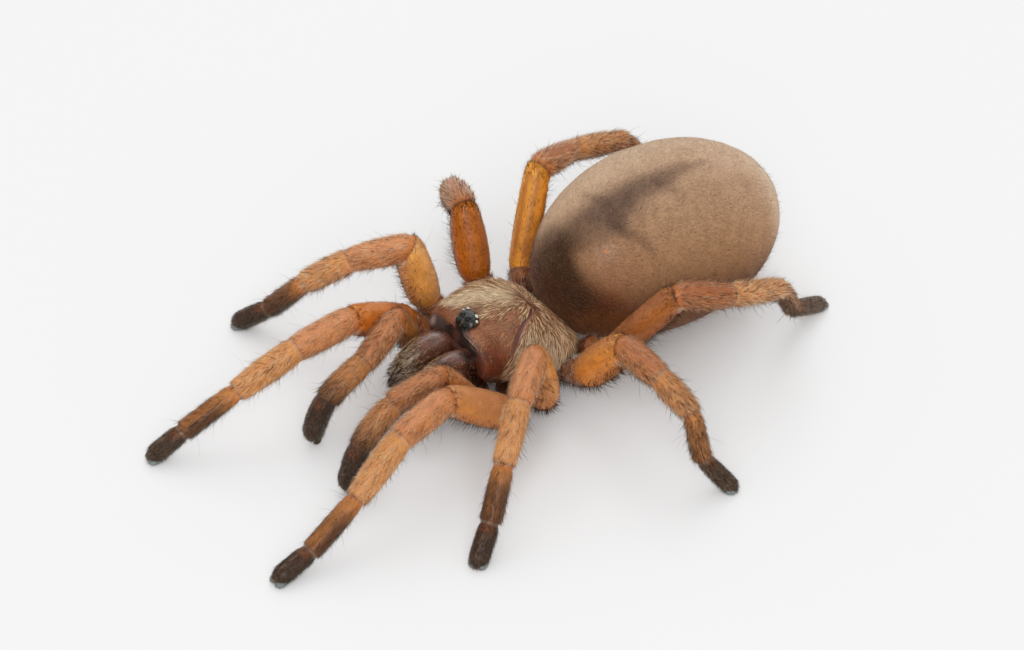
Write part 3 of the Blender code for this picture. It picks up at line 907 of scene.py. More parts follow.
        # paler, golden velvet towards -x at the front of the head: golden hair, with painted sheen on the
        # side that faces the light
        gold_and_sheen = ease(1.2, -0.6, velvet.place[:, 0]) * ease(-9.7, -8.9, velvet.place[:, 1])
        velvet.tone = blend((0.24, 0.085, 0.036, 0.5), (0.70, 0.42, 0.23, 0.5), warm)
        velvet.tone = blend(velvet.tone, (0.98, 0.74, 0.50, 0.5), 0.75 * gold_and_sheen * (0.4 + 0.6 * warm))
        ruddy = ease(1.9, 3.0, velvet.place[:, 0]) * ease(-8.4, -9.6, velvet.place[:, 1])
        velvet.tone = blend(velvet.tone, (0.17, 0.030, 0.008, 0.4), 0.85 * ruddy)
        far = ease(0.0, -0.8, velvet.place[:, 0]) * ease(-9.2, -9.9, velvet.place[:, 1])
        velvet.tone = blend(velvet.tone, (0.33, 0.125, 0.055, 0.5), 0.85 * far)
        coat.grow(velvet, HairStyle(0.30, 0.0125, 20, 0, 13, 0.25, bent=False, vary=0.12))
        long = HairStyle(0.42, 0.011, 32, 20, 20, 0.3, tone=(0.12, 0.06, 0.035, 0.5), vary=0.3)
        coat.cover(skin, 9 * free, long)
        margin = ease(0.75, 0.05, np.abs(z - smooth_through(self.y, self.edge, y))) * ease(3.3, 3.5, z)
        rim = HairStyle(0.5, 0.014, 26, 10, 22, 0.3, tone=(0.66, 0.48, 0.33, 0.5))
        coat.cover(skin, 40 * margin * ease(-9.8, -9.0, y), rim)


@dataclass
class Abdomen:
    """The velvet egg behind, with its charcoal stripe."""

    centre: Three = (0.15, 6.5, 6.4)
    half: Three = (6.85, 9.87, 6.2)
    egg: float = 0.025
    brow: float = 0.75
    depth: float = 0.07
    rows: int = 160
    columns: int = 220
    stripe: Trail = (
        (1.11, 10.03, 12.18, 0.22, 0.2), (1.12, 9.02, 12.37, 0.45, 0.42), (1.05, 7.93, 12.5, 0.65, 0.5),
        (1.12, 6.82, 12.54, 0.86, 0.6), (1.11, 5.93, 12.52, 1.08, 0.66), (0.99, 4.99, 12.45, 1.2, 0.72),
        (0.88, 3.85, 12.29, 1.4, 0.76), (0.93, 2.74, 12.01, 1.65, 0.82), (0.9, 1.74, 11.68, 1.85, 0.83),
        (0.74, 0.79, 11.29, 1.9, 0.76), (0.46, -0.1, 10.83, 1.85, 0.73), (0.27, -0.98, 10.24, 1.8, 0.80),
        (0.19, -1.7, 9.61, 1.6, 0.93), (0.54, -2.22, 9.01, 1.55, 0.98), (1.27, -2.51, 8.4, 1.5, 0.98),
        (2.12, -2.53, 7.73, 1.5, 0.95), (2.96, -2.32, 6.95, 1.6, 0.85), (3.62, -1.94, 5.77, 1.8, 0.6),
    )
    # a dark path over the front face, next to the shield: painted shade
    painted_front_shade: Trail = (
        (-1.4, -1.7, 8.9, 1.4, 0.72), (-0.9, -2.3, 8.4, 1.5, 0.85), (0.0, -3.0, 6.6, 1.7, 0.72),
        (1.6, -2.9, 5.4, 1.8, 0.7),
    )
    left_spur: Trail = (
        (0.27, 1.91, 11.79, 0.5, 0.35), (-0.83, 1.57, 11.59, 0.44, 0.4), (-2.1, 1.47, 11.2, 0.4, 0.12),
    )
    right_spur: Trail = (
        (1.39, 5.71, 12.46, 0.6, 0.2), (2.26, 6.1, 12.29, 0.5, 0.28), (2.95, 6.5, 12.05, 0.4, 0.1),
    )
    # the crease round the bulge: pressed in, and darkened with painted shadow
    painted_shade_crease: Trail = (
        (1.4, 1.5, 11.5, 0.7, 0.3), (2.12, 1.42, 11.29, 0.62, 0.72), (2.84, 1.47, 11.02, 0.45, 0.6),
        (3.52, 1.98, 10.88, 0.42, 0.44), (4.2, 2.33, 10.55, 0.38, 0.36), (4.8, 2.48, 10.07, 0.36, 0.28),
        (5.34, 2.43, 9.4, 0.34, 0.16), (5.7, 2.2, 8.6, 0.3, 0.0),
    )
    spot: Three = (2.86, -0.06, 10.13)
    smudge: Three = (3.55, 11.7, 10.8)
    bulge: Three = (3.8, -0.1, 9.2)

    def section(self, along: Array) -> tuple[Array, Array, Array]:
        """Give the egg's section, from 0 at its front to pi at its rear.

        Args:
            along: where.

        Returns:
            Its half-width, half-height and middle height.
        """
        swell = np.sin(along) * (1 - self.egg * np.cos(along))
        brow = self.brow * np.clip(np.cos(along), 0.0, 1.0) ** 3
        return self.half[0] * swell, self.half[2] * swell + 0.6 * brow, self.centre[2] - brow

    def surface_y(self, x: Array, z: Array, rear: bool) -> Array:
        """Give the egg's y at places seen from in front or from behind, by halving.

        Args:
            x: across.
            z: height.
            rear: whether the rear face is meant.

        Returns:
            The y of the surface there.
        """
        low = np.full(np.shape(x), np.pi / 2)
        high = np.full(np.shape(x), np.pi if rear else 0.0)
        for _ in range(30):
            along = 0.5 * (low + high)
            half, tall, middle = self.section(along)
            inside = np.hypot((x - self.centre[0]) / half, (z - middle) / tall) < 1
            low, high = np.where(inside, along, low), np.where(inside, high, along)
        return self.centre[1] - self.half[1] * np.cos(low)

    def trail(self, points: Array, path: Trail) -> Array:
        """Shade a soft trail along a path.

        Args:
            points: the skin's points.
            path: places with a half-width and a darkness each.

        Returns:
            The darkness at each point: the strongest of the path's lengths, each a bell
            across its half-width.
        """
        shade = np.zeros(points.shape[:-1])
        for a, b in zip(path, path[1:]):
            distance, share = segment_distance(points, np.array(a[:3]), np.array(b[:3]))
            half = a[3] + (b[3] - a[3]) * share
            dark = a[4] + (b[4] - a[4]) * share
            shade = np.maximum(shade, dark * np.exp(-((distance / half) ** 3.0)))
        return shade

    def skin(self, shield: Shield) -> Skin:
        """Work out the egg's rings and paint them.

        Args:
            shield: what its lower front lies over.

        Returns:
            The skin.
        """
        along = np.linspace(0.03, np.pi - 0.03, self.rows)[:, None]
        turn = circle(self.columns)[None]
        half, tall, middle = self.section(along)
        x = self.centre[0] + (half - self.depth) * np.cos(turn)
        y = self.centre[1] - (self.half[1] - self.depth) * np.cos(along)
        z = middle + (tall - self.depth) * np.sin(turn)
        over = (y < shield.y[-1] + 0.6) & (np.abs(x) < 4.4)
        floor = shield.height(x, np.clip(y, shield.y[0], shield.y[-1])) + 0.2
        z = np.where(over & (z < floor), floor, z)
        points = placed(x, y, z)
        out = unit(points - np.array(self.centre))
        swell = 0.14 * halo(points, self.bulge, 2.1)
        crease = 0.1 * self.trail(points, self.painted_shade_crease)
        lumps = 0.03 * ripple(points, 3.2, 5) - 0.02
        points = points + out * (swell - crease + lumps)[..., None]
        flow = placed(0.25 * (x - self.centre[0]), 4.0, -0.5)
        return Skin(points, self.painted(points), unit(flow))

    def painted(self, points: Array) -> Array:
        """Give the velvet's tones: tan above and browner low down, partly painted shade, with more painted
        light and shade and its dark and pale marks.

        Args:
            points: the skin's points.

        Returns:
            The tones.
        """
        x, y, z = np.moveaxis(points, -1, 0)
        # browner low down: partly the velvet's colour, partly painted shade
        level = z + 0.12 * (y - 5.0)
        tone = blend((0.19, 0.075, 0.030, 0.75), (0.36, 0.195, 0.098, 0.75), ease(4.5, 9.5, level))
        tone = blend(tone, (0.41, 0.252, 0.155, 0.75), ease(8.5, 13.0, level))
        # painted light on the far upper side and round the rear; the tints below are painted shade, darker
        # and warmer, on the near side, and painted light, paler and greyer, towards the rear
        lit = 0.75 * ease(1.5, -4.5, x) * ease(7.0, 9.5, z) + ease(11.8, 15.0, y) * ease(4.0, 7.0, z)
        for tint, share in (
            ((0.80, 0.765, 0.73), ease(1.2, 3.6, x)),
            ((1.2, 1.25, 1.35), ease(8.0, 12.0, y)),
        ):
            tone[..., :3] *= blend(np.ones(3), tint, share)
        tone = blend(tone, (0.60, 0.42, 0.285, 0.75), 0.85 * np.clip(lit, 0, 1))
        tone = blend(tone, (0.24, 0.112, 0.058, 0.75), 0.8 * halo(points, self.bulge, 2.2))
        tone = blend(tone, (0.36, 0.22, 0.15, 0.75), 0.5 * halo(points, self.spot, 0.9))
        # painted shade low on the front, then painted light, reddish, bounced from the floor along the
        # bottom
        low = ease(1.2, -1.2, y) * ease(9.0, 6.8, z)
        tone = blend(tone, (0.098, 0.024, 0.005, 0.8), 0.88 * low)
        tone = blend(tone, (0.27, 0.082, 0.010, 0.8), low * ease(6.6, 5.0, z))
        dark = np.zeros_like(x)
        # the stripe and the two spurs are markings; the path over the front face and the crease round the
        # bulge are painted shade
        for path in (self.stripe, self.painted_front_shade, self.left_spur, self.right_spur, self.painted_shade_crease):
            dark = 1 - (1 - dark) * (1 - self.trail(points, path) * (1 + 0.06 * ripple(points, 0.9, 9)))
        charcoal = blend((0.056, 0.032, 0.025, 0.8), (0.032, 0.013, 0.006, 0.8), ease(0.5, -2.0, y))
        tone = blend(tone, charcoal, np.clip(dark, 0, 0.96))
        tone = blend(tone, (0.28, 0.165, 0.11, 0.8), 0.45 * halo(points, self.smudge, 0.5))
        tone = blend(tone, (0.50, 0.15, 0.02, 0.5), halo(points, self.spot, 0.11))
        brighten(tone, 1 + 0.05 * ripple(points, 1.1, 6) + 0.05 * ripple(points, 0.35, 7))
        return tone

    def coat(self, skin: Skin, coat: Coat) -> None:
        """Grow the velvet, with longer dark hairs low in front and round the rear.

        Args:
            skin: the egg's skin.
            coat: where to grow it.
        """
        _, y, z = np.moveaxis(skin.points, -1, 0)
        coat.cover(skin, 105.0, HairStyle(0.20, 0.0075, 13, 0, 7, 0.2, bent=False, tip=1.1, vary=0.12))
        pale = skin.scatter(36.0, coat.rng)
        share = 0.3 + 0.15 * ease(0.25, 0.08, pale.tone[:, 0])
        pale.tone = blend(pale.tone, (0.66, 0.48, 0.34, 0.75), share)
        coat.grow(pale, HairStyle(0.17, 0.006, 38, 0, 14, 0.25, bent=False, tip=1.2, vary=0.1))
        front = 1.5 * ease(-1.0, -2.6, y) * ease(9.0, 6.5, z)
        low = ease(7.0, 4.0, z) + front + 0.6 * ease(14.0, 16.0, y)
        long = HairStyle(0.6, 0.011, 36, 18, 16, 0.3, tone=(0.14, 0.075, 0.045, 0.55))
        coat.cover(skin, 9.0 * low + 0.15, long)


@dataclass
class Jaw:
    """One jaw: a deep dark glossy wedge with rows of fine hair, and short spines at its end."""

    side: Side
    y: tuple[float, ...] = (-10.2, -10.9, -11.5, -12.1, -12.8, -13.8, -14.6, -15.05)
    centre_z: tuple[float, ...] = (3.9, 3.98, 4.06, 4.1, 4.08, 3.86, 3.5, 3.05)
    half_width: tuple[float, ...] = (1.02, 1.1, 1.14, 1.15, 1.12, 1.0, 0.8, 0.45)
    half_height: tuple[float, ...] = (1.45, 1.55, 1.6, 1.6, 1.55, 1.36, 1.05, 0.6)
    middle_x: float = 1.3
    twin_gap: float = 0.07
    back: float = -10.25
    rows: int = 90
    columns: int = 72

    def skin(self) -> Skin:
        """Work out the jaw's rings: ellipses flattened where they face the twin.

        Returns:
            The skin, with hair lying forward.
        """
        order = np.array(self.y)[::-1]
        share = np.linspace(0, 1, self.rows)
        y = self.back + (self.y[-1] - 0.12 - self.back) * (1 - (1 - share) ** 1.4)
        inside = np.clip(y, self.y[-1], self.y[0])
        half_x = smooth_through(order, self.half_width[::-1], inside)[:, None]
        half_z = smooth_through(order, self.half_height[::-1], inside)[:, None]
        centre = smooth_through(order, self.centre_z[::-1], inside)[:, None]
        closing = np.sqrt(np.clip((y - self.y[-1] + 0.14) / 0.3, 0.02, 1.0))[:, None]
        turn = circle(self.columns)[None]
        wide = closing * half_x * np.sign(np.cos(turn)) * np.abs(np.cos(turn)) ** 0.8
        x = np.maximum(self.middle_x + wide, self.twin_gap)
        z = centre + closing * half_z * np.sin(turn)
        y_grid = np.repeat(y[:, None], self.columns, axis=1)
        points = np.stack([self.side.value * x, y_grid, z], axis=-1)
        tone = blend((0.085, 0.026, 0.014, 0.26), (0.040, 0.014, 0.009, 0.30), ease(-12.0, -14.5, y_grid))
        # painted grey sheen on the top of the jaw's base, streaked along it
        painted_jaw_sheen = ease(-13.0, -11.4, y_grid) * ease(-10.8, -11.4, y_grid)
        painted_jaw_sheen = painted_jaw_sheen * bell(x - 1.0, 0.5) * ease(4.6, 5.3, z)
        combed = ripple(points * np.array([1.0, 0.15, 1.0]), 0.3, 21)
        tone = blend(tone, (0.21, 0.15, 0.135, 0.36), np.clip(painted_jaw_sheen * (0.6 + 0.45 * combed), 0, 1))
        inner = ease(0.35, 0.1, x) * ease(-11.8, -11.2, y_grid) * (z > 4)
        tone = blend(tone, (0.13, 0.035, 0.015, 0.3), inner)
        shaded = 0.7 * ease(-11.9, -11.1, y_grid) * ease(0.9, 1.5, x)
        brighten(tone, 1 + 0.2 * ripple(points, 0.9, 20) - shaded)
        return Skin(points, tone, everywhere(points, (0.0, -1.0, -0.15)))

    def coat(self, skin: Skin, coat: Coat) -> None:
        """Grow hair in rows along the jaw, a fringe below and short spines at its end.

        Args:
            skin: the jaw's skin.
            coat: where to grow it.
        """
        x, y, z = np.moveaxis(skin.points, -1, 0)
        turn = np.arctan2(z - 4.1, np.abs(x) - self.middle_x)
        rows = 0.25 + 0.75 * np.cos(9 * turn) ** 2
        inner = ease(0.12, 0.3, np.abs(x))
        upper = ease(3.2, 4.4, z) * inner * rows
        fine = skin.scatter(230 * upper * ease(-11.0, -12.2, y) + 60 * upper, coat.rng)
        golden = ease(-12.2, -14.0, fine.place[:, 1])
        fine.tone = blend((0.26, 0.125, 0.060, 0.45), (0.85, 0.50, 0.26, 0.45), golden)
        coat.grow(fine, HairStyle(0.22, 0.0072, 24, 8, 6, 0.3, bent=False, tip=1.3, vary=0.8))
        fringe = HairStyle(0.7, 0.012, 38, 15, 15, 0.3, tone=(0.09, 0.045, 0.027, 0.4))
        coat.cover(skin, 26 * inner * ease(4.4, 3.4, z), fringe)
        spines = HairStyle(0.42, 0.045, 45, 20, 12, 0.2, tone=(0.03, 0.014, 0.01, 0.25))
        coat.cover(skin, 14 * inner * ease(-14.0, -14.8, y), spines)


@dataclass
class Fang:
    """One fang, folded back under its jaw: a round tapering curve."""

    side: Side
    path: Trail = (
        (1.4, -14.5, 2.2), (1.4, -14.35, 1.75), (1.4, -14.1, 1.3), (1.35, -13.5, 1.05), (1.25, -12.7, 1.1),
        (1.2, -12.1, 1.3),
    )
    radii: tuple[float, ...] = (0.4, 0.4, 0.38, 0.3, 0.2, 0.04)
    rows: int = 40
    columns: int = 24

    def skin(self) -> Skin:
        """Sweep a shrinking circle along the curve, darker towards the point.

        Returns:
            The skin.
        """
        known = np.arange(len(self.path), dtype=float)
        at = np.linspace(0, known[-1], self.rows)
        path = placed(*(smooth_through(known, column, at) for column in zip(*self.path)))
        radius = smooth_through(known, self.radii, at)
        path[:, 0] *= self.side.value
        ahead = unit(np.gradient(path, axis=0))
        across = np.tile([1.0, 0.0, 0.0], (self.rows, 1))
        over = unit(np.cross(ahead, across))
        turn = circle(self.columns)
        spoke = np.cos(turn)[None, :, None] * across[:, None] + np.sin(turn)[None, :, None] * over[:, None]
        points = path[:, None] + radius[:, None, None] * spoke
        share = np.repeat(at[:, None] / at[-1], self.columns, axis=1)
        tone = blend((0.10, 0.022, 0.012, 0.2), (0.02, 0.008, 0.007, 0.15), share)
        return Skin(points, tone, everywhere(points, (0.0, 1.0, 0.0)))


@dataclass
class EyeGroup:
    """Eight glassy eyes, close together on the mound."""

    places: tuple[tuple[str, float, float, float], ...] = (
        ("front_middle", 0.27, -9.86, 0.22),
        ("front_side", 0.43, -10.17, 0.20),
        ("rear_middle", 0.48, -9.28, 0.165),
        ("rear_side", 0.76, -9.46, 0.125),
    )
    rows: int = 26
    columns: int = 32

    def build(self, shield: Shield, material: Material) -> None:
        """Make each eye as a slightly raised ball half sunk in the mound.

        Args:
            shield: the mound's shape.
            material: the glass.
        """
        for side in Side:
            for name, x, y, radius in self.places:
                aside = side.value * x
                place = np.array([aside, y, shield.height(aside, y) - shield.drop(aside, y)])
                out = unit(np.array([side.value * 0.9 * x, 1.1 * (y - shield.mound[1]), 0.8]))
                across = unit(np.cross(out, [0.0, 1.0, 0.0]))
                over = np.cross(out, across)
                lift = np.linspace(-0.46 * np.pi, 0.46 * np.pi, self.rows)[:, None, None]
                turn = circle(self.columns)[None, :, None]
                ball = np.cos(lift) * (np.cos(turn) * across + np.sin(turn) * over) + np.sin(lift) * out
                points = place - out * 0.2 * radius + radius * ball
                pearly = name.startswith("rear")
                lens = (0.50, 0.50, 0.42, 0.06) if pearly else (0.004, 0.006, 0.006, 0.04)
                rim = (0.010, 0.010, 0.010, 0.12)
                share = np.repeat(ease(0.25, 0.6, np.sin(lift[:, :, 0])), self.columns, axis=1)
                skin = Skin(points, blend(rim, lens, share), everywhere(points, UP))
                label = f"eye_{name}_{side.name.lower()}"
                eye = skin.build(f"{label}_lens", material)
                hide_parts(label)


@dataclass(frozen=True)
class PartLook:
    """The tones and hair of one length of a limb. Hair is counted to a mm2.

    fuzz is short, pale and half upright, lines are longer and lie close, fringe hangs
    below, and bristles are long, stiff and few.
    """

    top: Tone
    side: Tone
    under: Tone
    fuzz: float
    fuzz_tone: Tone
    fuzz_length: float
    lines: float
    line_tone: Tone
    line_length: float
    fringe: float
    fringe_length: float
    bristles: float = 0.0


HAIR_PALE: Tone = (0.66, 0.46, 0.30, 0.5)
HAIR_ROSE: Tone = (0.74, 0.47, 0.29, 0.5)
HAIR_GOLD: Tone = (0.76, 0.48, 0.28, 0.5)
HAIR_BROWN: Tone = (0.15, 0.062, 0.028, 0.45)
HAIR_DARK: Tone = (0.060, 0.028, 0.018, 0.4)
HAIR_FOOT: Tone = (0.064, 0.038, 0.022, 0.5)
MEMBRANE: Tone = (0.50, 0.30, 0.19, 0.45)
SEAM: Tone = (0.13, 0.042, 0.018, 0.4)
NECK: Tone = (0.44, 0.13, 0.030, 0.26)

LOOKS: dict[Part, PartLook] = {
    Part.COXA: PartLook(
        (0.17, 0.050, 0.020, 0.30), (0.14, 0.038, 0.015, 0.30), (0.10, 0.030, 0.014, 0.4),
        40, (0.80, 0.64, 0.52, 0.5), 0.5, 24, HAIR_BROWN, 0.45, 42, 0.6,
    ),
    Part.TROCHANTER: PartLook(
        (0.31, 0.10, 0.030, 0.30), (0.24, 0.070, 0.020, 0.32), (0.17, 0.05, 0.02, 0.4),
        35, (0.80, 0.64, 0.52, 0.5), 0.4, 24, HAIR_BROWN, 0.45, 42, 0.6,
    ),
    Part.FEMUR: PartLook(
        (0.50, 0.205, 0.072, 0.36), (0.46, 0.162, 0.036, 0.34), (0.36, 0.125, 0.036, 0.4),
        40, HAIR_PALE, 0.22, 26, HAIR_BROWN, 0.20, 24, 0.62, 0.15,
    ),
    Part.PATELLA: PartLook(
        (0.42, 0.150, 0.052, 0.34), (0.42, 0.145, 0.046, 0.38), (0.36, 0.13, 0.045, 0.4),
        105, HAIR_ROSE, 0.38, 15, HAIR_BROWN, 0.6, 16, 0.5, 0.35,
    ),
    Part.TIBIA: PartLook(
        (0.47, 0.182, 0.055, 0.36), (0.46, 0.172, 0.048, 0.36), (0.38, 0.138, 0.045, 0.4),
        105, HAIR_GOLD, 0.38, 14, HAIR_BROWN, 0.6, 18, 0.5, 0.7,
    ),
    Part.METATARSUS: PartLook(
        (0.42, 0.155, 0.042, 0.32), (0.36, 0.125, 0.030, 0.36), (0.16, 0.095, 0.055, 0.5),
        60, (0.50, 0.27, 0.11, 0.5), 0.32, 22, (0.13, 0.055, 0.024, 0.45), 0.52, 26, 0.34, 0.7,
    ),
    Part.TARSUS: PartLook(
        (0.048, 0.024, 0.014, 0.34), (0.040, 0.022, 0.013, 0.4), (0.09, 0.085, 0.06, 0.5),
        60, HAIR_FOOT, 0.22, 20, (0.040, 0.025, 0.017, 0.45), 0.36, 50, 0.22,
    ),
}


@dataclass(frozen=True)
class LimbPose:
    """One limb's root, headings and lifts, as the source of the solids has them, and its tints."""

    root: Three
    headings: tuple[float, ...]
    lifts: tuple[float, ...]
    femur_tint: Three = (1.0, 1.0, 1.0)
    patella_tint: Three = (1.0, 1.0, 1.0)


@dataclass(frozen=True)
class LimbBuild:
    """What a pair of limbs share.

    Their lengths, half-widths and hip, how bristly (vigour) and bright they are, how dark
    their feet are and how light their toes' hair, and how high the hip bends, in mm.
    """

    lengths: tuple[float, ...]
    thickness: tuple[float, ...]
    hip: Three
    vigour: float
    bright: float
    foot_dark: float
    toe_light: float = 1.0
    bend_z: float = 2.15


LIMB_BUILDS: dict[Limb, LimbBuild] = {
    Limb.LEG_1: LimbBuild(
        (6.8, 4.6, 4.95, 4.5, 3.1), (1.24, 1.04, 0.97, 0.8, 0.76), (1.95, -7.95, 1.2),
        0.6, 1.0, 1.0,
    ),
    Limb.LEG_2: LimbBuild(
        (5.45, 4.1, 4.25, 3.85, 3.15), (1.22, 1.04, 0.92, 0.82, 0.76), (2.0, -6.35, 1.2),
        0.8, 0.98, 1.0,
    ),
    Limb.LEG_3: LimbBuild(
        (5.6, 3.5, 3.2, 3.65, 3.5), (1.28, 1.0, 0.9, 0.74, 0.68), (1.95, -4.75, 1.2),
        1.9, 0.88, 0.45, bend_z=3.05,
    ),
    Limb.LEG_4: LimbBuild(
        (7.65, 4.2, 5.45, 5.2, 4.15), (1.05, 0.98, 0.84, 0.68, 0.64), (1.75, -3.15, 1.2),
        1.5, 1.0, 0.35, toe_light=3.6, bend_z=3.55,
    ),
    Limb.PALP: LimbBuild(
        (5.05, 3.9, 3.65, 3.5), (0.86, 0.93, 0.9, 0.84), (1.2, -9.6, 1.35),
        1.5, 0.84, 1.0, toe_light=2.0,
    ),
}

LIMB_POSES: dict[tuple[Limb, Side], LimbPose] = {
    (Limb.LEG_1, Side.LEFT): LimbPose(
        (6.0, -10.1, 2.7), (-4, 12, 7, 6, 1), (37, -5, -36, -28),
        (0.94, 0.9, 0.85),
    ),
    (Limb.LEG_2, Side.LEFT): LimbPose(
        (6.2, -7.7, 3.15), (28, 39, 34, 35, 30), (70, -7, -43, -44),
        (1.12, 1.17, 1.22),
    ),
    (Limb.LEG_3, Side.LEFT): LimbPose(
        (6.2, -4.25, 3.6), (99, 97, 101, 105, 132), (53, -9, -27, -74),
        (1.4, 1.3, 1.0),
    ),
    (Limb.LEG_4, Side.LEFT): LimbPose(
        (5.45, -1.8, 3.4), (132, 163, 185, 211, 193), (53, -15, -23, -55),
        (0.68, 0.58, 0.5), (0.68, 0.62, 0.56),
    ),
    (Limb.PALP, Side.LEFT): LimbPose(
        (4.0, -11.35, 2.6), (-12, -4, -1, 1), (53, -9, -40),
    ),
    (Limb.LEG_1, Side.RIGHT): LimbPose(
        (6.3, -10.3, 2.8), (-13, 0, 10, 14, 15), (34, -4, -25, -30),
        (0.98, 0.70, 0.36),
    ),
    (Limb.LEG_2, Side.RIGHT): LimbPose(
        (6.9, -8.15, 3.1), (15, 35, 48, 46, 45), (76, -15, -38, -46),
        (1.4, 1.6, 1.6),
    ),
    (Limb.LEG_3, Side.RIGHT): LimbPose(
        (6.2, -4.4, 3.8), (96, 113, 128, 139, 136), (72, -18, -53, -53),
        (0.93, 0.61, 0.12),
    ),
    (Limb.LEG_4, Side.RIGHT): LimbPose(
        (5.15, -1.35, 3.5), (147, 162, 177, 178, 179), (62, -15, -17, -55),
        (1.5, 1.32, 0.45),
    ),
    (Limb.PALP, Side.RIGHT): LimbPose(
        (4.1, -11.0, 2.0), (-20, -15, -3, 11), (62, -23, -19),
    ),
}


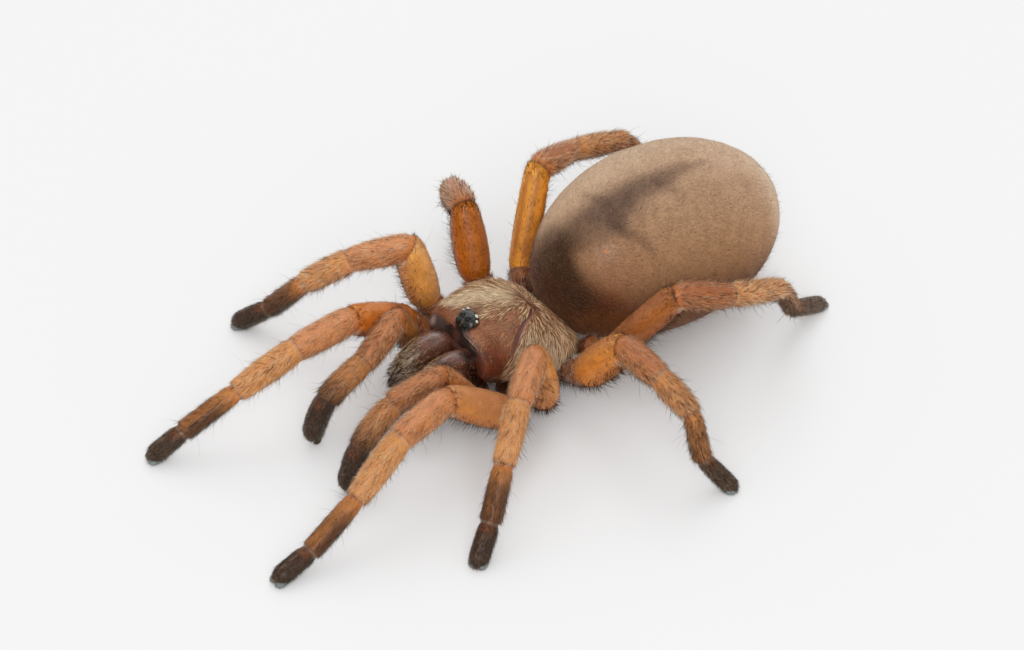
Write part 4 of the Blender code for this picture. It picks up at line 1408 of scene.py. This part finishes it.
@dataclass
class LimbModel:
    """One leg or palp: a single skin from hip to toe, narrowed at each joint, with hair and claws."""

    limb: Limb
    side: Side
    hip_radius: float = 0.74
    coxa_radius: float = 0.84
    hip_share: float = 0.68
    foot_rest: float = 0.86
    tip_reach: float = 0.8
    depth: float = 0.06
    row_step: float = 0.11
    columns: int = 36
    necks: tuple[float, ...] = (0.0, 0.04, 0.12, 0.09, 0.045, 0.12, 0.09)
    palp_necks: tuple[float, ...] = (0.0, 0.04, 0.10, 0.08, 0.04, 0.03)
    knee_round: float = 0.95
    pad_grid: tuple[int, int] = (18, 24)
    claw_grid: tuple[int, int] = (14, 10)

    def __post_init__(self) -> None:
        """Look up the limb's sizes and pose, and work out its joints."""
        self.sizes = LIMB_BUILDS[self.limb]
        self.pose = LIMB_POSES[self.limb, self.side]
        self.tints = {FEMUR: np.array(self.pose.femur_tint), PATELLA: np.array(self.pose.patella_tint)}
        self.stem = f"{self.limb.value}_{self.side.name.lower()}"
        self.rear = self.limb in (Limb.LEG_3, Limb.LEG_4)
        self.palp = self.limb is Limb.PALP
        rough = self.side is Side.RIGHT and self.limb in (Limb.LEG_1, Limb.LEG_2)
        self.vigour = self.sizes.vigour + (0.4 if rough else 0.0)
        self.bright = self.sizes.bright * (1.15 if rough else 1.0)
        self.parts = list(Part)
        if self.palp:
            self.parts.remove(Part.METATARSUS)
        self.joints = self.find_joints()

    def heading(self, heading: float, lift: float) -> Array:
        """Turn a heading and a lift in degrees into a direction."""
        a, e = np.radians(heading), np.radians(lift)
        return np.array([self.side.value * np.cos(e) * np.sin(a), -np.cos(e) * np.cos(a), np.sin(e)])

    def find_joints(self) -> Array:
        """Walk the limb from hip to toe; the foot's lift is the one that lays its toe on the ground.

        Returns:
            One place for each joint, hip and toe included.
        """
        mirror = np.array([self.side.value, 1, 1])
        hip, root = np.array(self.sizes.hip) * mirror, np.array(self.pose.root) * mirror
        bend = hip + self.hip_share * (root - hip)
        bend[2] = self.sizes.bend_z
        points = [hip, bend, root]
        for heading, lift, length in zip(self.pose.headings, self.pose.lifts, self.sizes.lengths):
            points.append(points[-1] + length * self.heading(heading, lift))
        rest = self.foot_rest * self.sizes.thickness[-1]
        last = self.sizes.lengths[-1]
        drop = (points[-1][2] - rest) / (last - self.tip_reach)
        lift = -np.degrees(np.arcsin(np.clip(drop, -0.95, 0.95)))
        points.append(points[-1] + last * self.heading(self.pose.headings[-1], lift))
        return np.array(points)

    def halves(self) -> Array:
        """Give each part's half-width at its start, middle and end."""
        t = self.sizes.thickness
        base = 0.86 * t[0]
        coxa = self.coxa_radius + (0.12 if self.rear else 0.0)
        rows = [
            (self.hip_radius, self.hip_radius, coxa),
            (coxa, 0.5 * (coxa + base), base),
            (base, t[0], 0.95 * t[1]),
            (0.95 * t[1], t[1], 0.95 * t[2]),
            (0.95 * t[2], t[2], t[3]),
        ]
        if self.palp:
            return np.array([*rows, (0.98 * t[3], t[3], 0.9 * t[3])])
        return np.array([*rows, (0.95 * t[3], t[3], t[3]), (0.92 * t[4], t[4], 0.92 * t[4])])

    def skin(self) -> Skin:
        """Work out the limb's rings.

        A ring is an ellipse across its part, slid along the part onto a plane that turns
        towards the plane which halves the bend at each joint. Its width is a curve through
        the part's three half-widths, less a neck at each joint: steep on the near part's
        end, long on the next part's start. Near a joint the rings move towards the inside of
        the bend by the square of their nearness, which rounds it. The toe is rounded and laid
        flat on the ground.

        Returns:
            The skin. part_of, share, near_start and near_end are kept for each ring, and
            height and sideways for each point: the sine and cosine round the limb.
        """
        joints, halves = self.joints, self.halves()
        ahead_all = unit(np.diff(joints, axis=0))
        lengths = np.linalg.norm(np.diff(joints, axis=0), axis=-1)
        mitres = unit(np.concatenate([ahead_all[:1], ahead_all[:-1] + ahead_all[1:], ahead_all[-1:]]))
        last = len(lengths) - 1
        part, place = [], []
        for i, length in enumerate(lengths):
            steps = int(length / self.row_step)
            t = np.linspace(0, 1, steps, endpoint=i == last)
            place.append(length * (t - 0.09 * np.sin(2 * np.pi * t)))
            part.append(np.full(steps, i))
        part, place = np.concatenate(part), np.concatenate(place)
        length = lengths[part]
        place = np.minimum(place, length - 0.02 * (part == last))
        share, rest = place / length, length - place
        low, middle, high = halves[part].T
        half = (1 - share) * (1 - 2 * share) * low + 4 * share * (1 - share) * middle
        half = half + share * (2 * share - 1) * high
        necks = np.array([*(self.palp_necks if self.palp else self.necks), 0.0])
        half = half - self.depth
        half *= 1 - necks[part] * bell(place, 0.4) - 0.9 * necks[part + 1] * bell(rest, 0.13)
        toe = (part == last) * np.clip((self.tip_reach - rest) / self.tip_reach, 0, 1)
        half *= np.sqrt(np.maximum(0.03, 1 - toe**2))
        tall = np.where(part < FEMUR, 1.0, np.where(part <= TIBIA, 1.08, 0.95))
        turn_start = np.clip(1 - place / (1.5 * middle), 0, 1)
        turn_end = np.clip(1 - rest / (1.5 * middle), 0, 1) * (part != last)
        near = np.maximum(turn_start, turn_end)[:, None]
        target = np.where((turn_end > turn_start)[:, None], mitres[part + 1], mitres[part])
        ahead = ahead_all[part]
        face = unit(ahead * (1 - near) + target * near)
        across = unit(np.cross(UP, ahead))
        over = np.cross(ahead, across)
        turn = circle(self.columns)
        spoke = np.cos(turn)[None, :, None] * across[:, None]
        spoke = spoke + (tall[:, None] * np.sin(turn))[..., None] * over[:, None]
        spoke *= half[:, None, None]
        slide = (spoke @ face[..., None])[..., 0] / np.sum(ahead * face, axis=-1)[:, None]
        centre = joints[part] + place[:, None] * ahead
        points = centre[:, None] + spoke - slide[..., None] * ahead[:, None]
        turns = np.zeros_like(joints)
        turns[1:-1] = np.diff(ahead_all, axis=0)
        reach = self.knee_round * middle * np.where((part >= TIBIA) & self.palp, 2.4, 1.0)
        for near, joint in ((place, part), (rest, part + 1)):
            cut = np.maximum(reach - near, 0.0) ** 2 / (4 * reach)
            points = points + (cut[:, None] * turns[joint])[:, None]
        points[..., 2] = np.maximum(points[..., 2], 0.0)
        self.part_of, self.share = part, share
        self.near_start, self.near_end = place, rest
        self.height = np.tile(np.sin(turn), (len(half), 1))
        self.sideways = np.tile(np.cos(turn), (len(half), 1))
        lie = np.repeat(ahead[:, None], self.columns, axis=1)
        return Skin(points, self.painted(points), lie)

    def look_table(self, name: str) -> Array:
        """Give one of the looks' fields for every ring."""
        values = np.array([getattr(LOOKS[part], name) for part in self.parts])
        return values[self.part_of]

    def stripes(self) -> Array:
        """Give how bare the skin is: two smooth stripes along the top of femur, patella and tibia."""
        along = ease(0.06, 0.2, self.share) * ease(0.98, 0.86, self.share)
        patella, tibia, wide = (1.1, 0.0, 0.26) if self.rear else (0.9, 0.35, 0.16)
        strength = np.array([0, 0, 0.8, patella, tibia, 0, 0])[self.part_of]
        across = bell(np.abs(self.sideways) - 0.40, wide)
        return (strength * along)[:, None] * across * (self.height > 0)

    def painted(self, points: Array) -> Array:
        """Give the limb's tones.

        Top, side and under tones blend round the limb. Joints have a dark seam and a bright
        neck, with pale membrane below the knee and a pale ring above the toe part. Feet
        darken outwards.

        Args:
            points: the skin's points.

        Returns:
            The tones.
        """
        top, side, under = (self.look_table(name)[:, None] for name in ("top", "side", "under"))
        height = self.height
        tone = blend(side, top, ease(0.1, 0.85, height))
        tone = blend(tone, under, ease(-0.2, -0.85, height))
        for number, tint in self.tints.items():
            tone[self.part_of == number, :, :3] *= tint
        brighten(tone, 1 + 0.09 * ripple(points, 1.3, 31) + 0.06 * ripple(points, 0.5, 32))
        part, share = self.part_of[:, None], self.share[:, None]
        start, end = self.near_start[:, None], self.near_end[:, None]
        last = self.part_of.max()
        groove = {Limb.LEG_3: (0.36, 0.125, 0.055, 0.26), Limb.LEG_4: (0.26, 0.085, 0.034, 0.26)}
        tone = blend(tone, groove.get(self.limb, (0.52, 0.20, 0.095, 0.22)), 0.85 * self.stripes())
        if self.palp:
            dusk = (part == TIBIA) * ease(0.4, 1.0, share)
            tone = blend(tone, (0.085, 0.040, 0.022, 0.4), 0.75 * dusk)
        else:
            dusk = (part == last - 1) * ease(-0.05, 0.5, share) * self.sizes.foot_dark
            plain = 0.85 if self.limb is Limb.LEG_2 else 0.55
            edge = plain + (1 - plain) * ease(0.95, 0.55, np.abs(height))
            tone = blend(tone, (0.075, 0.028, 0.010, 0.34), dusk * edge)
            pale = (1 - self.sizes.foot_dark) * (part == last) * 0.7
            tone = blend(tone, (0.17, 0.10, 0.06, 0.4), pale)
        base = (part == last) * bell(start - 0.5, 0.3) * ease(0.3, 0.8, height)
        tone = blend(tone, (0.26, 0.072, 0.020, 0.3), (0.75 - 0.35 * self.sizes.foot_dark) * base)
        line = (part == last) * bell(self.sideways, 0.12) * ease(0.5, 0.9, height) * ease(0.2, 0.4, share)
        tone = blend(tone, (0.20, 0.13, 0.09, 0.3), 0.45 * line * ease(0.95, 0.7, share))
        after_neck = [PATELLA] if self.palp else [PATELLA, Part.METATARSUS.value]
        neck = np.isin(part, after_neck) * bell(start - 0.1, 0.16)
        tone = blend(tone, NECK, 0.75 * neck)
        collar = np.where(part == TIBIA, bell(end, 0.22), bell(end, 0.10)) * (part != last)
        collar = collar * (part >= FEMUR) * np.where(part == PATELLA, 0.65, 0.8)
        tone = blend(tone, SEAM, collar)
        ring = (0.22 + 0.12 * ripple(points, 0.4, 33)) * (part == last) * bell(start - 0.05, 0.13)
        ring = np.maximum(ring * (not self.palp), 0.5 * bell(start - 0.12, 0.06) * (part == TIBIA))
        tone = blend(tone, (0.50, 0.31, 0.20, 0.45), ring)
        hinge = (part == TIBIA) * bell(start, 0.16) * (height > 0)
        hinge = hinge * bell(np.abs(self.sideways) - 0.35, 0.25)
        tone = blend(tone, (0.20, 0.07, 0.035, 0.35), 0.7 * hinge)
        knee = np.maximum((part == FEMUR) * bell(end, 0.5), (part == PATELLA) * bell(start, 0.5))
        tone = blend(tone, MEMBRANE, 0.8 * knee * ease(-0.15, -0.6, height))
        tone[..., :3] *= self.bright
        return tone

    def grow_part(self, kind: Part, number: int, skin: Skin, coat: Coat, free: Array) -> None:
        """Grow one part's fuzz, lines, fringe and bristles.

        Args:
            kind: the part.
            number: its place along this limb.
            skin: the limb's skin.
            coat: where to grow them.
            free: how free of hair each point is kept, 0 where bare.
        """
        look, height, rng = LOOKS[kind], self.height, coat.rng
        here = (self.part_of == number)[:, None] * free
        vigour, bright = self.vigour, self.bright
        if kind is Part.FEMUR:
            here = here * (0.6 + 0.4 * ease(0.35, 0.8, height) + 0.4 * ease(-0.1, -0.6, height))
            knee = bell(self.near_end[:, None] - 0.3, 0.25 + 0.25 * vigour)
            knee = (self.part_of == FEMUR)[:, None] * knee
            here = here + 0.6 * knee * (height > 0)
        clump = 0.75 + 0.25 * ripple(skin.points, 0.5, 41)
        dusk = np.ones_like(height)
        if self.palp and kind is Part.TIBIA:
            dusk = dusk - 0.75 * ease(0.4, 1.0, self.share)[:, None]
        if kind is Part.METATARSUS:
            dusk = dusk - 0.78 * self.sizes.foot_dark * ease(-0.05, 0.55, self.share)[:, None]
        if kind is Part.TARSUS:
            dusk = self.sizes.toe_light * dusk
        shaded = Skin(skin.points, dusk[..., None] * np.ones(4), skin.lie)

        def toned(density: Array, tone: Tone) -> Roots:
            """Draw roots whose tone is dimmed along the part."""
            roots = shaded.scatter(density, rng)
            dim = roots.tone[:, :1] * bright
            colour = np.array(tone[:3]) * self.tints.get(number, np.ones(3)) * dim
            roots.tone = np.concatenate([colour, np.full_like(dim, tone[3])], axis=1)
            return roots

        length = look.fuzz_length * (0.6 + 0.2 * vigour)
        coat.grow(
            toned(look.fuzz * here * clump, look.fuzz_tone),
            HairStyle(length, 0.0105, 30, 0, 10, 0.28, bent=False, vary=0.3),
        )
        coat.grow(
            toned(look.lines * (0.15 + 0.85 * vigour) * here, look.line_tone),
            HairStyle(look.line_length, 0.0072 + 0.0032 * vigour, 24, 12, 10, 0.25, vary=0.4),
        )
        if kind is Part.FEMUR:
            coat.grow(
                toned(32 * here * ease(1.0, 0.3, height), (0.12, 0.045, 0.016, 0.5)),
                HairStyle(0.12, 0.012, 42, 0, 12, 0.3, bent=False, vary=0.3, tip=0.9),
            )
            coat.grow(
                toned(26 * vigour * knee * ease(-0.4, 0.4, height), HAIR_DARK),
                HairStyle(0.42, 0.011, 32, 12, 16, 0.3, vary=0.3),
            )
        below = here * ease(-0.1, -0.7, height)
        coat.grow(
            toned(look.fringe * (0.6 + 0.4 * vigour) * below, HAIR_DARK),
            HairStyle(look.fringe_length, 0.0125, 58, 20, 22, 0.35),
        )
        if look.bristles:
            coat.grow(
                toned(look.bristles * vigour * here * (1.2 - 0.3 * height), HAIR_DARK),
                HairStyle(1.15, 0.015, 52, 14, 24, 0.3),
            )

    def coat(self, skin: Skin, coat: Coat) -> None:
        """Grow the limb's hair part by part, dark collars at its joints, and a dense foot.

        Args:
            skin: the limb's skin.
            coat: where to grow it.
        """
        height = self.height
        part, share = self.part_of[:, None], self.share[:, None]
        joint = ease(0.0, 0.16, self.near_end)[:, None] * ease(0.08, 0.3, self.near_start)[:, None]
        free = joint * (1 - 0.9 * self.stripes()) * ease(1.0, 1.6, np.abs(skin.points[..., 0]))
        for number, kind in enumerate(self.parts):
            self.grow_part(kind, number, skin, coat, free)
        last = self.part_of.max()
        joined = [FEMUR] if self.palp else [FEMUR, TIBIA]
        collar = np.isin(part, joined) * bell(self.near_end[:, None] - 0.12, 0.15) * (0.6 + 0.4 * height)
        tuft = (part < FEMUR) * ease(-0.7, 0.0, height) * ease(1.6, 2.4, np.abs(skin.points[..., 0]))
        near = self.limb is Limb.LEG_3 and self.side is Side.LEFT
        many, tone = (150, (0.92, 0.76, 0.62, 0.5)) if near else (70, (0.24, 0.115, 0.055, 0.5))
        coat.cover(
            skin,
            many * tuft * (0.5 + 0.5 * ripple(skin.points, 0.5, 44)).clip(0, 2),
            HairStyle(0.40, 0.010, 30, 0, 20, 0.3, bent=False, tone=tone, vary=0.3),
        )
        coat.cover(
            skin,
            80 * collar,
            HairStyle(0.30, 0.0105, 38, 10, 14, 0.3, tone=(0.10, 0.045, 0.026, 0.45), vary=0.35),
        )
        if self.palp:
            brush = (part == TIBIA) * ease(0.35, 0.85, share) * joint
            coat.cover(
                skin,
                42 * brush * ease(0.05, 0.5, self.near_end)[:, None],
                HairStyle(0.30, 0.0105, 16, 12, 12, 0.3, tone=(0.10, 0.048, 0.025, 0.45), vary=0.45),
            )
        toe = (part == last) * ease(0.05, 0.3, self.near_start)[:, None]
        coat.cover(
            skin,
            70 * toe * ease(-0.6, -0.1, height),
            HairStyle(0.26, 0.0115, 24, 12, 12, 0.25, tone=(0.052, 0.032, 0.019, 0.45), vary=0.4),
        )
        sole = (part > TIBIA) * ease(0.02, 0.3, self.near_start)[:, None]
        thick = np.where(part == last, 1.0, ease(0.1, 0.6, share) * self.sizes.foot_dark)
        coat.cover(
            skin,
            110 * sole * thick * bell(height + 0.5, 0.33),
            HairStyle(0.22, 0.011, 50, 10, 12, 0.2, tone=(0.15, 0.15, 0.115, 0.45), vary=0.25),
        )

    def nodes(self) -> list[str]:
        """Name the solids that this limb's skin stands for."""
        return [f"{self.stem}_{name}" for name in ("coxa", "femur", "patella_tibia", "foot")]

    def build_toes(self, material: Material, tuft: Material, coat: Coat) -> None:
        """Make the pads of pale hair under the toe, and the small claws between them.

        Each pad is a flattened ball at the toe's end. A claw is a thin curve that rises
        out of the toe and hooks down. Palps have one claw and small pads.

        Args:
            material: the claws' horn.
            tuft: the pads' finish.
            coat: where the pads' hair grows.
        """
        toe, before = self.joints[-1], self.joints[-2]
        ahead = unit((toe - before) * np.array([1, 1, 0.25]))
        across = unit(np.cross(UP, ahead))
        over = np.cross(ahead, across)
        half = self.sizes.thickness[-1]
        pad_scale = 0.7 if self.palp else 1.0
        grey = (0.06, 0.04, 0.025, 0.4) if self.palp else (0.16, 0.18, 0.17, 0.4)
        rows, columns = self.pad_grid
        lift = np.linspace(-0.48 * np.pi, 0.48 * np.pi, rows)[:, None, None]
        turn = circle(columns)[None, :, None]
        wide = np.cos(lift) * (np.cos(turn) * across * 0.36 + np.sin(turn) * over * 0.26)
        for number, lean in enumerate((-1, 1)):
            centre = toe - ahead * 0.3 + across * lean * 0.42 * half - over * 0.28 * half
            centre[2] = max(centre[2], 0.27 * pad_scale)
            points = centre + pad_scale * (wide + np.sin(lift) * ahead * 0.42)
            points[..., 2] = np.maximum(points[..., 2], 0.0)
            skin = Skin(points, everywhere(points, grey), everywhere(points, ahead))
            pad = skin.build(f"{self.stem}_pad_{number + 1}", tuft)
            down = HairStyle(0.12, 0.011, 50, 10, 15, 0.2, bent=False, tip=1.9, vary=0.35)
            coat.cover(skin, 160.0, down)
        rows, columns = self.claw_grid
        at = np.linspace(0, 1, rows)[:, None]
        radius = 0.05 * (1 - 0.9 * at)
        turn = circle(columns)[None, :, None]
        for number, lean in enumerate((0,) if self.palp else (-1, 1)):
            start = toe - ahead * 0.15 + across * lean * 0.14 + over * 0.18 * half
            path = start + ahead * 0.42 * at + over * (0.16 * at - 0.42 * at**2)
            points = path[:, None] + radius[:, None] * (np.cos(turn) * across + np.sin(turn) * over)
            points[..., 2] = np.maximum(points[..., 2], 0.0)
            skin = Skin(points, everywhere(points, (0.24, 0.07, 0.02, 0.25)), everywhere(points, ahead))
            skin.build(f"{self.stem}_claw_{number + 1}", material)


@dataclass
class Spinneret:
    """One silk organ: a short jointed finger from the abdomen's rear."""

    name: str
    side: Side
    across: float
    height: float
    length: float
    radius: float
    rows: int = 40
    columns: int = 26
    tone: Tone = (0.32, 0.17, 0.09, 0.5)

    def skin(self, abdomen: Abdomen) -> Skin:
        """Sweep shrinking circles backwards from the egg's slope, with two narrow joints.

        Args:
            abdomen: what it grows from.

        Returns:
            The skin.
        """
        sign = self.side.value
        centre_x = abdomen.centre[0] + sign * self.across
        turn = circle(self.columns)
        x, z = centre_x + self.radius * np.cos(turn), self.height + self.radius * np.sin(turn)
        base = abdomen.surface_y(x, z, True)
        start = base.max() + 0.3
        share = np.linspace(0, 1, self.rows)[:, None]
        swell = smooth_through((0, 0.3, 0.6, 0.8, 0.95, 1), (1, 1, 0.88, 0.8, 0.55, 0.2), share)
        swell = swell * (1 - 0.14 * bell(share - 0.42, 0.04) - 0.14 * bell(share - 0.75, 0.04)) - 0.04
        y_line = start + self.length * share
        y = base[None] - 0.2 + (y_line - base[None] + 0.2) * ease(0, 0.25, share)
        y = np.where(share > 0.25, y_line, y)
        ring_x = centre_x + sign * 0.1 * share * self.length + swell * (x - centre_x)[None]
        ring_z = self.height - 0.12 * self.length * share**2 + swell * (z - self.height)[None]
        points = placed(ring_x, y, ring_z)
        tone = everywhere(points, self.tone)
        brighten(tone, 1 + 0.15 * ripple(points, 0.6, 51))
        return Skin(points, tone, everywhere(points, (0.0, 1.0, -0.1)))


@dataclass
class Underside:
    """The breastplate with its lip, and the short stalk to the abdomen."""

    plate_y: tuple[float, ...] = (-9.75, -9.2, -8.75, -8.3, -6.8, -5.2, -3.4, -2.1)
    plate_half: tuple[float, ...] = (0.35, 0.62, 0.62, 1.1, 1.62, 1.68, 1.35, 0.5)
    bottom: float = 0.95
    top: float = 1.75
    stalk_half: float = 0.6
    stalk_tall: float = 0.36
    stalk_z: float = 1.46
    plate_grid: tuple[int, int] = (80, 48)
    stalk_grid: tuple[int, int] = (24, 32)
    plate_tone: Tone = (0.20, 0.075, 0.035, 0.35)
    stalk_tone: Tone = (0.24, 0.10, 0.05, 0.4)

    def plate(self) -> Skin:
        """Loft the breastplate from flattened ellipses.

        Returns:
            The skin.
        """
        rows, columns = self.plate_grid
        y = np.linspace(self.plate_y[0], self.plate_y[-1], rows)[:, None]
        turn = circle(columns)[None]
        half = smooth_through(self.plate_y, self.plate_half, y)
        middle, thick = 0.5 * (self.top + self.bottom), 0.5 * (self.top - self.bottom)
        z = middle + thick * np.clip(1.2 * np.sin(turn), -1, 1)
        points = placed(half * np.cos(turn), y, z)
        tone = everywhere(points, self.plate_tone)
        brighten(tone, 1 + 0.15 * ripple(points, 0.9, 61))
        return Skin(points, tone, everywhere(points, (0.0, 1.0, 0.0)))

    def stalk(self, shield: Shield, abdomen: Abdomen) -> Skin:
        """Loft the stalk from the shield's rear into the abdomen's front, waisted halfway.

        Args:
            shield: where it starts.
            abdomen: where it ends.

        Returns:
            The skin.
        """
        rows, columns = self.stalk_grid
        turn = circle(columns)
        x, z = self.stalk_half * np.cos(turn), self.stalk_z + self.stalk_tall * np.sin(turn)
        rear = abdomen.surface_y(x, z, False) + 0.2
        share = np.linspace(0, 1, rows)[:, None]
        y = (shield.y[-1] - 0.1) * (1 - share) + rear[None] * share
        waist = 1 - 0.18 * np.sin(np.pi * share)
        points = placed(waist * x, y, self.stalk_z + waist * (z - self.stalk_z))
        return Skin(points, everywhere(points, self.stalk_tone), everywhere(points, (0.0, 1.0, 0.0)))


@dataclass(frozen=True)
class Studio:
    """The pale floor, the soft light and the camera, whose place is in the spider's frame, in mm."""

    azimuth: float = 52.98
    elevation: float = 40.75
    distance: float = 259.42
    aim: Three = (-1.361, -4.861, 3.0)
    roll: float = 0.34
    lens: float = 131.32
    sensor: float = 36.0
    sight: tuple[float, float] = (0.01, 10.0)
    floor_half: float = 1.5
    world: float = 0.92
    overhead: float = 5.35
    fill: float = 3.4
    overhead_place: Three = (-0.62, 0.46, 0.92)
    fill_place: Three = (0.524, -0.393, 0.459)
    floor_tone: Tone = (0.93, 0.93, 0.93, 0.6)
    curve: tuple[tuple[float, float], ...] = (
        (0.0, 0.0), (0.075, 0.15), (0.15, 0.295), (0.25, 0.47), (0.375, 0.655), (0.5, 0.79), (0.625, 0.895),
        (0.75, 0.958), (1.0, 0.995),
    )
    curve_white: float = 2.0

    def camera(self) -> None:
        """Set the camera: behind its aim by the distance, turned by azimuth, elevation and roll."""
        a, e, r = np.radians([self.azimuth, self.elevation, self.roll])
        back = np.array([np.sin(a) * np.cos(e), -np.cos(a) * np.cos(e), np.sin(e)])
        right = np.array([np.cos(a), np.sin(a), 0.0])
        up = np.cross(back, right)
        turned_right = np.cos(r) * right + np.sin(r) * up
        turned_up = np.cos(r) * up - np.sin(r) * right
        place = (np.array(self.aim) + PLACE_SHIFT + back * self.distance) * MM
        data = bpy.data.cameras.new("camera")
        data.lens, data.sensor_width = self.lens, self.sensor
        data.clip_start, data.clip_end = self.sight
        camera = bpy.data.objects.new("camera", data)
        matrix = Matrix([*zip(turned_right, turned_up, back)]).to_4x4()
        matrix.translation = Vector(place)
        camera.matrix_world = matrix
        bpy.context.scene.collection.objects.link(camera)
        bpy.context.scene.camera = camera

    @staticmethod
    def light(name: str, place: Three, size: float, power: float) -> None:
        """Add a square soft light that looks at the spider.

        Args:
            name: its name.
            place: where, in metres.
            size: its side, in metres.
            power: its strength, in watts.
        """
        data = bpy.data.lights.new(name, "AREA")
        data.size, data.energy = size, power
        lamp = bpy.data.objects.new(name, data)
        lamp.location = place
        lamp.rotation_euler = (-Vector(place)).to_track_quat("-Z", "Y").to_euler()
        bpy.context.scene.collection.objects.link(lamp)

    def build(self, material: Material) -> None:
        """Make floor, lights, sky and camera.

        Args:
            material: the floor's finish.
        """
        half = self.floor_half / MM
        corners = np.array([[-half, -half, 0.0], [half, -half, 0.0], [half, half, 0.0], [-half, half, 0.0]])
        tone = np.tile(self.floor_tone, (4, 1))
        floor = make_mesh("studio_floor", corners, [np.array([[0, 1, 2, 3]])], material, tone)
        floor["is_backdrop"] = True
        self.light("overhead", self.overhead_place, 0.9, self.overhead)
        self.light("fill", self.fill_place, 0.5, self.fill)
        world = bpy.data.worlds.new("studio")
        world.use_nodes = True
        sky = world.node_tree.nodes["Background"]
        sky.inputs["Color"].default_value = (1.0, 1.0, 1.0, 1.0)
        sky.inputs["Strength"].default_value = self.world
        bpy.context.scene.world = world
        self.exposure()
        self.camera()

    def exposure(self) -> None:
        """Roll bright tones off on a curve, as a camera does, so the floor stays just below white."""
        view = bpy.context.scene.view_settings
        view.view_transform = "Standard"
        view.use_curve_mapping = True
        mapping = view.curve_mapping
        mapping.white_level = (self.curve_white,) * 3
        curve = mapping.curves[3]
        for place, value in self.curve[1:-1]:
            curve.points.new(place, value)
        curve.points[0].location = self.curve[0]
        curve.points[-1].location = self.curve[-1]
        mapping.update()


class Spider:
    """The whole animal, dressed piece by piece."""

    def __init__(self, wardrobe: Wardrobe) -> None:
        """Keep the finishes and shape the body's two halves."""
        self.wardrobe = wardrobe
        self.shield = Shield()
        self.abdomen = Abdomen()

    @staticmethod
    def finish_piece(obj: Object, slot: str, *nodes: str) -> None:
        """Hide the solids that a piece stands for."""
        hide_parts(*nodes)

    def coat_piece(self, coat: Coat, name: str) -> None:
        """Build a coat's meshes."""
        for piece in coat.build(name, self.wardrobe.hair):
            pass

    def build_shield(self) -> None:
        """Make the shield with its hair and eyes."""
        skin = self.shield.skin()
        self.finish_piece(skin.build("shield_skin", self.wardrobe.shield), "shield", "carapace")
        coat = Coat(np.random.default_rng(101))
        self.shield.coat(skin, coat)
        self.coat_piece(coat, "shield_coat")
        EyeGroup().build(self.shield, self.wardrobe.eye)

    def build_abdomen(self) -> None:
        """Make the abdomen with its velvet and silk organs."""
        skin = self.abdomen.skin(self.shield)
        self.finish_piece(skin.build("abdomen_skin", self.wardrobe.velvet), "abdomen", "abdomen")
        coat = Coat(np.random.default_rng(102))
        self.abdomen.coat(skin, coat)
        self.coat_piece(coat, "abdomen_coat")
        coat = Coat(np.random.default_rng(103))
        for side in Side:
            for name, *sizes in (("side", 0.95, 2.5, 1.6, 0.5), ("middle", 0.32, 1.9, 0.8, 0.28)):
                organ = Spinneret(name, side, *sizes).skin(self.abdomen)
                label = f"spinneret_{name}_{side.name.lower()}"
                self.finish_piece(organ.build(f"{label}_skin", self.wardrobe.limb), "spinneret", label)
                coat.cover(organ, 40.0, HairStyle(0.3, 0.014, 30, tone=HAIR_DARK))
                coat.cover(organ, 30.0, HairStyle(0.3, 0.014, 25, tone=HAIR_PALE))
        self.coat_piece(coat, "spinneret_coat")

    def build_jaws(self) -> None:
        """Make the jaws with their hair, and the fangs."""
        coat = Coat(np.random.default_rng(104))
        for side in Side:
            jaw = Jaw(side)
            skin = jaw.skin()
            tag = side.name.lower()
            self.finish_piece(skin.build(f"jaw_{tag}", self.wardrobe.jaw), "jaw", f"chelicera_{tag}")
            jaw.coat(skin, coat)
            fang = Fang(side).skin().build(f"fang_{tag}_horn", self.wardrobe.horn)
            self.finish_piece(fang, "fang", f"fang_{tag}")
        self.coat_piece(coat, "jaw_coat")

    def build_underside(self) -> None:
        """Make the breastplate and the stalk, with their hair."""
        under = Underside()
        plate = under.plate()
        self.finish_piece(plate.build("breastplate", self.wardrobe.shield), "plate", "sternum")
        stalk = under.stalk(self.shield, self.abdomen)
        self.finish_piece(stalk.build("stalk", self.wardrobe.limb), "plate", "pedicel")
        coat = Coat(np.random.default_rng(105))
        coat.cover(plate, 18.0, HairStyle(0.5, 0.016, 30, tone=HAIR_DARK))
        self.coat_piece(coat, "breastplate_coat")

    def build_limb(self, limb: Limb, side: Side) -> None:
        """Make one limb with its hair and toes."""
        model = LimbModel(limb, side)
        skin = model.skin()
        piece = skin.build(f"{model.stem}_skin", self.wardrobe.limb)
        self.finish_piece(piece, "limb", *model.nodes())
        coat = Coat(np.random.default_rng(200 + 10 * list(Limb).index(limb) + side.value))
        model.coat(skin, coat)
        model.build_toes(self.wardrobe.horn, self.wardrobe.hair, coat)
        self.coat_piece(coat, f"{model.stem}_coat")


def main() -> None:
    """Dress the spider and set the studio."""
    logging.basicConfig(level=logging.INFO, format="%(message)s")
    wardrobe = Wardrobe()
    spider = Spider(wardrobe)
    Studio().build(wardrobe.floor)
    spider.build_shield()
    log.info("shield and eyes")
    spider.build_abdomen()
    log.info("abdomen")
    spider.build_jaws()
    log.info("jaws")
    spider.build_underside()
    log.info("underside")
    for limb in Limb:
        for side in Side:
            spider.build_limb(limb, side)
            log.info("%s %s", limb.value, side.name.lower())
    meshes = [obj.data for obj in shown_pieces() if obj.type == "MESH"]
    triangles = sum(len(mesh.loops) - 2 * len(mesh.polygons) for mesh in meshes)
    log.info("%d triangles", triangles)


if __name__ == "__main__":
    main()
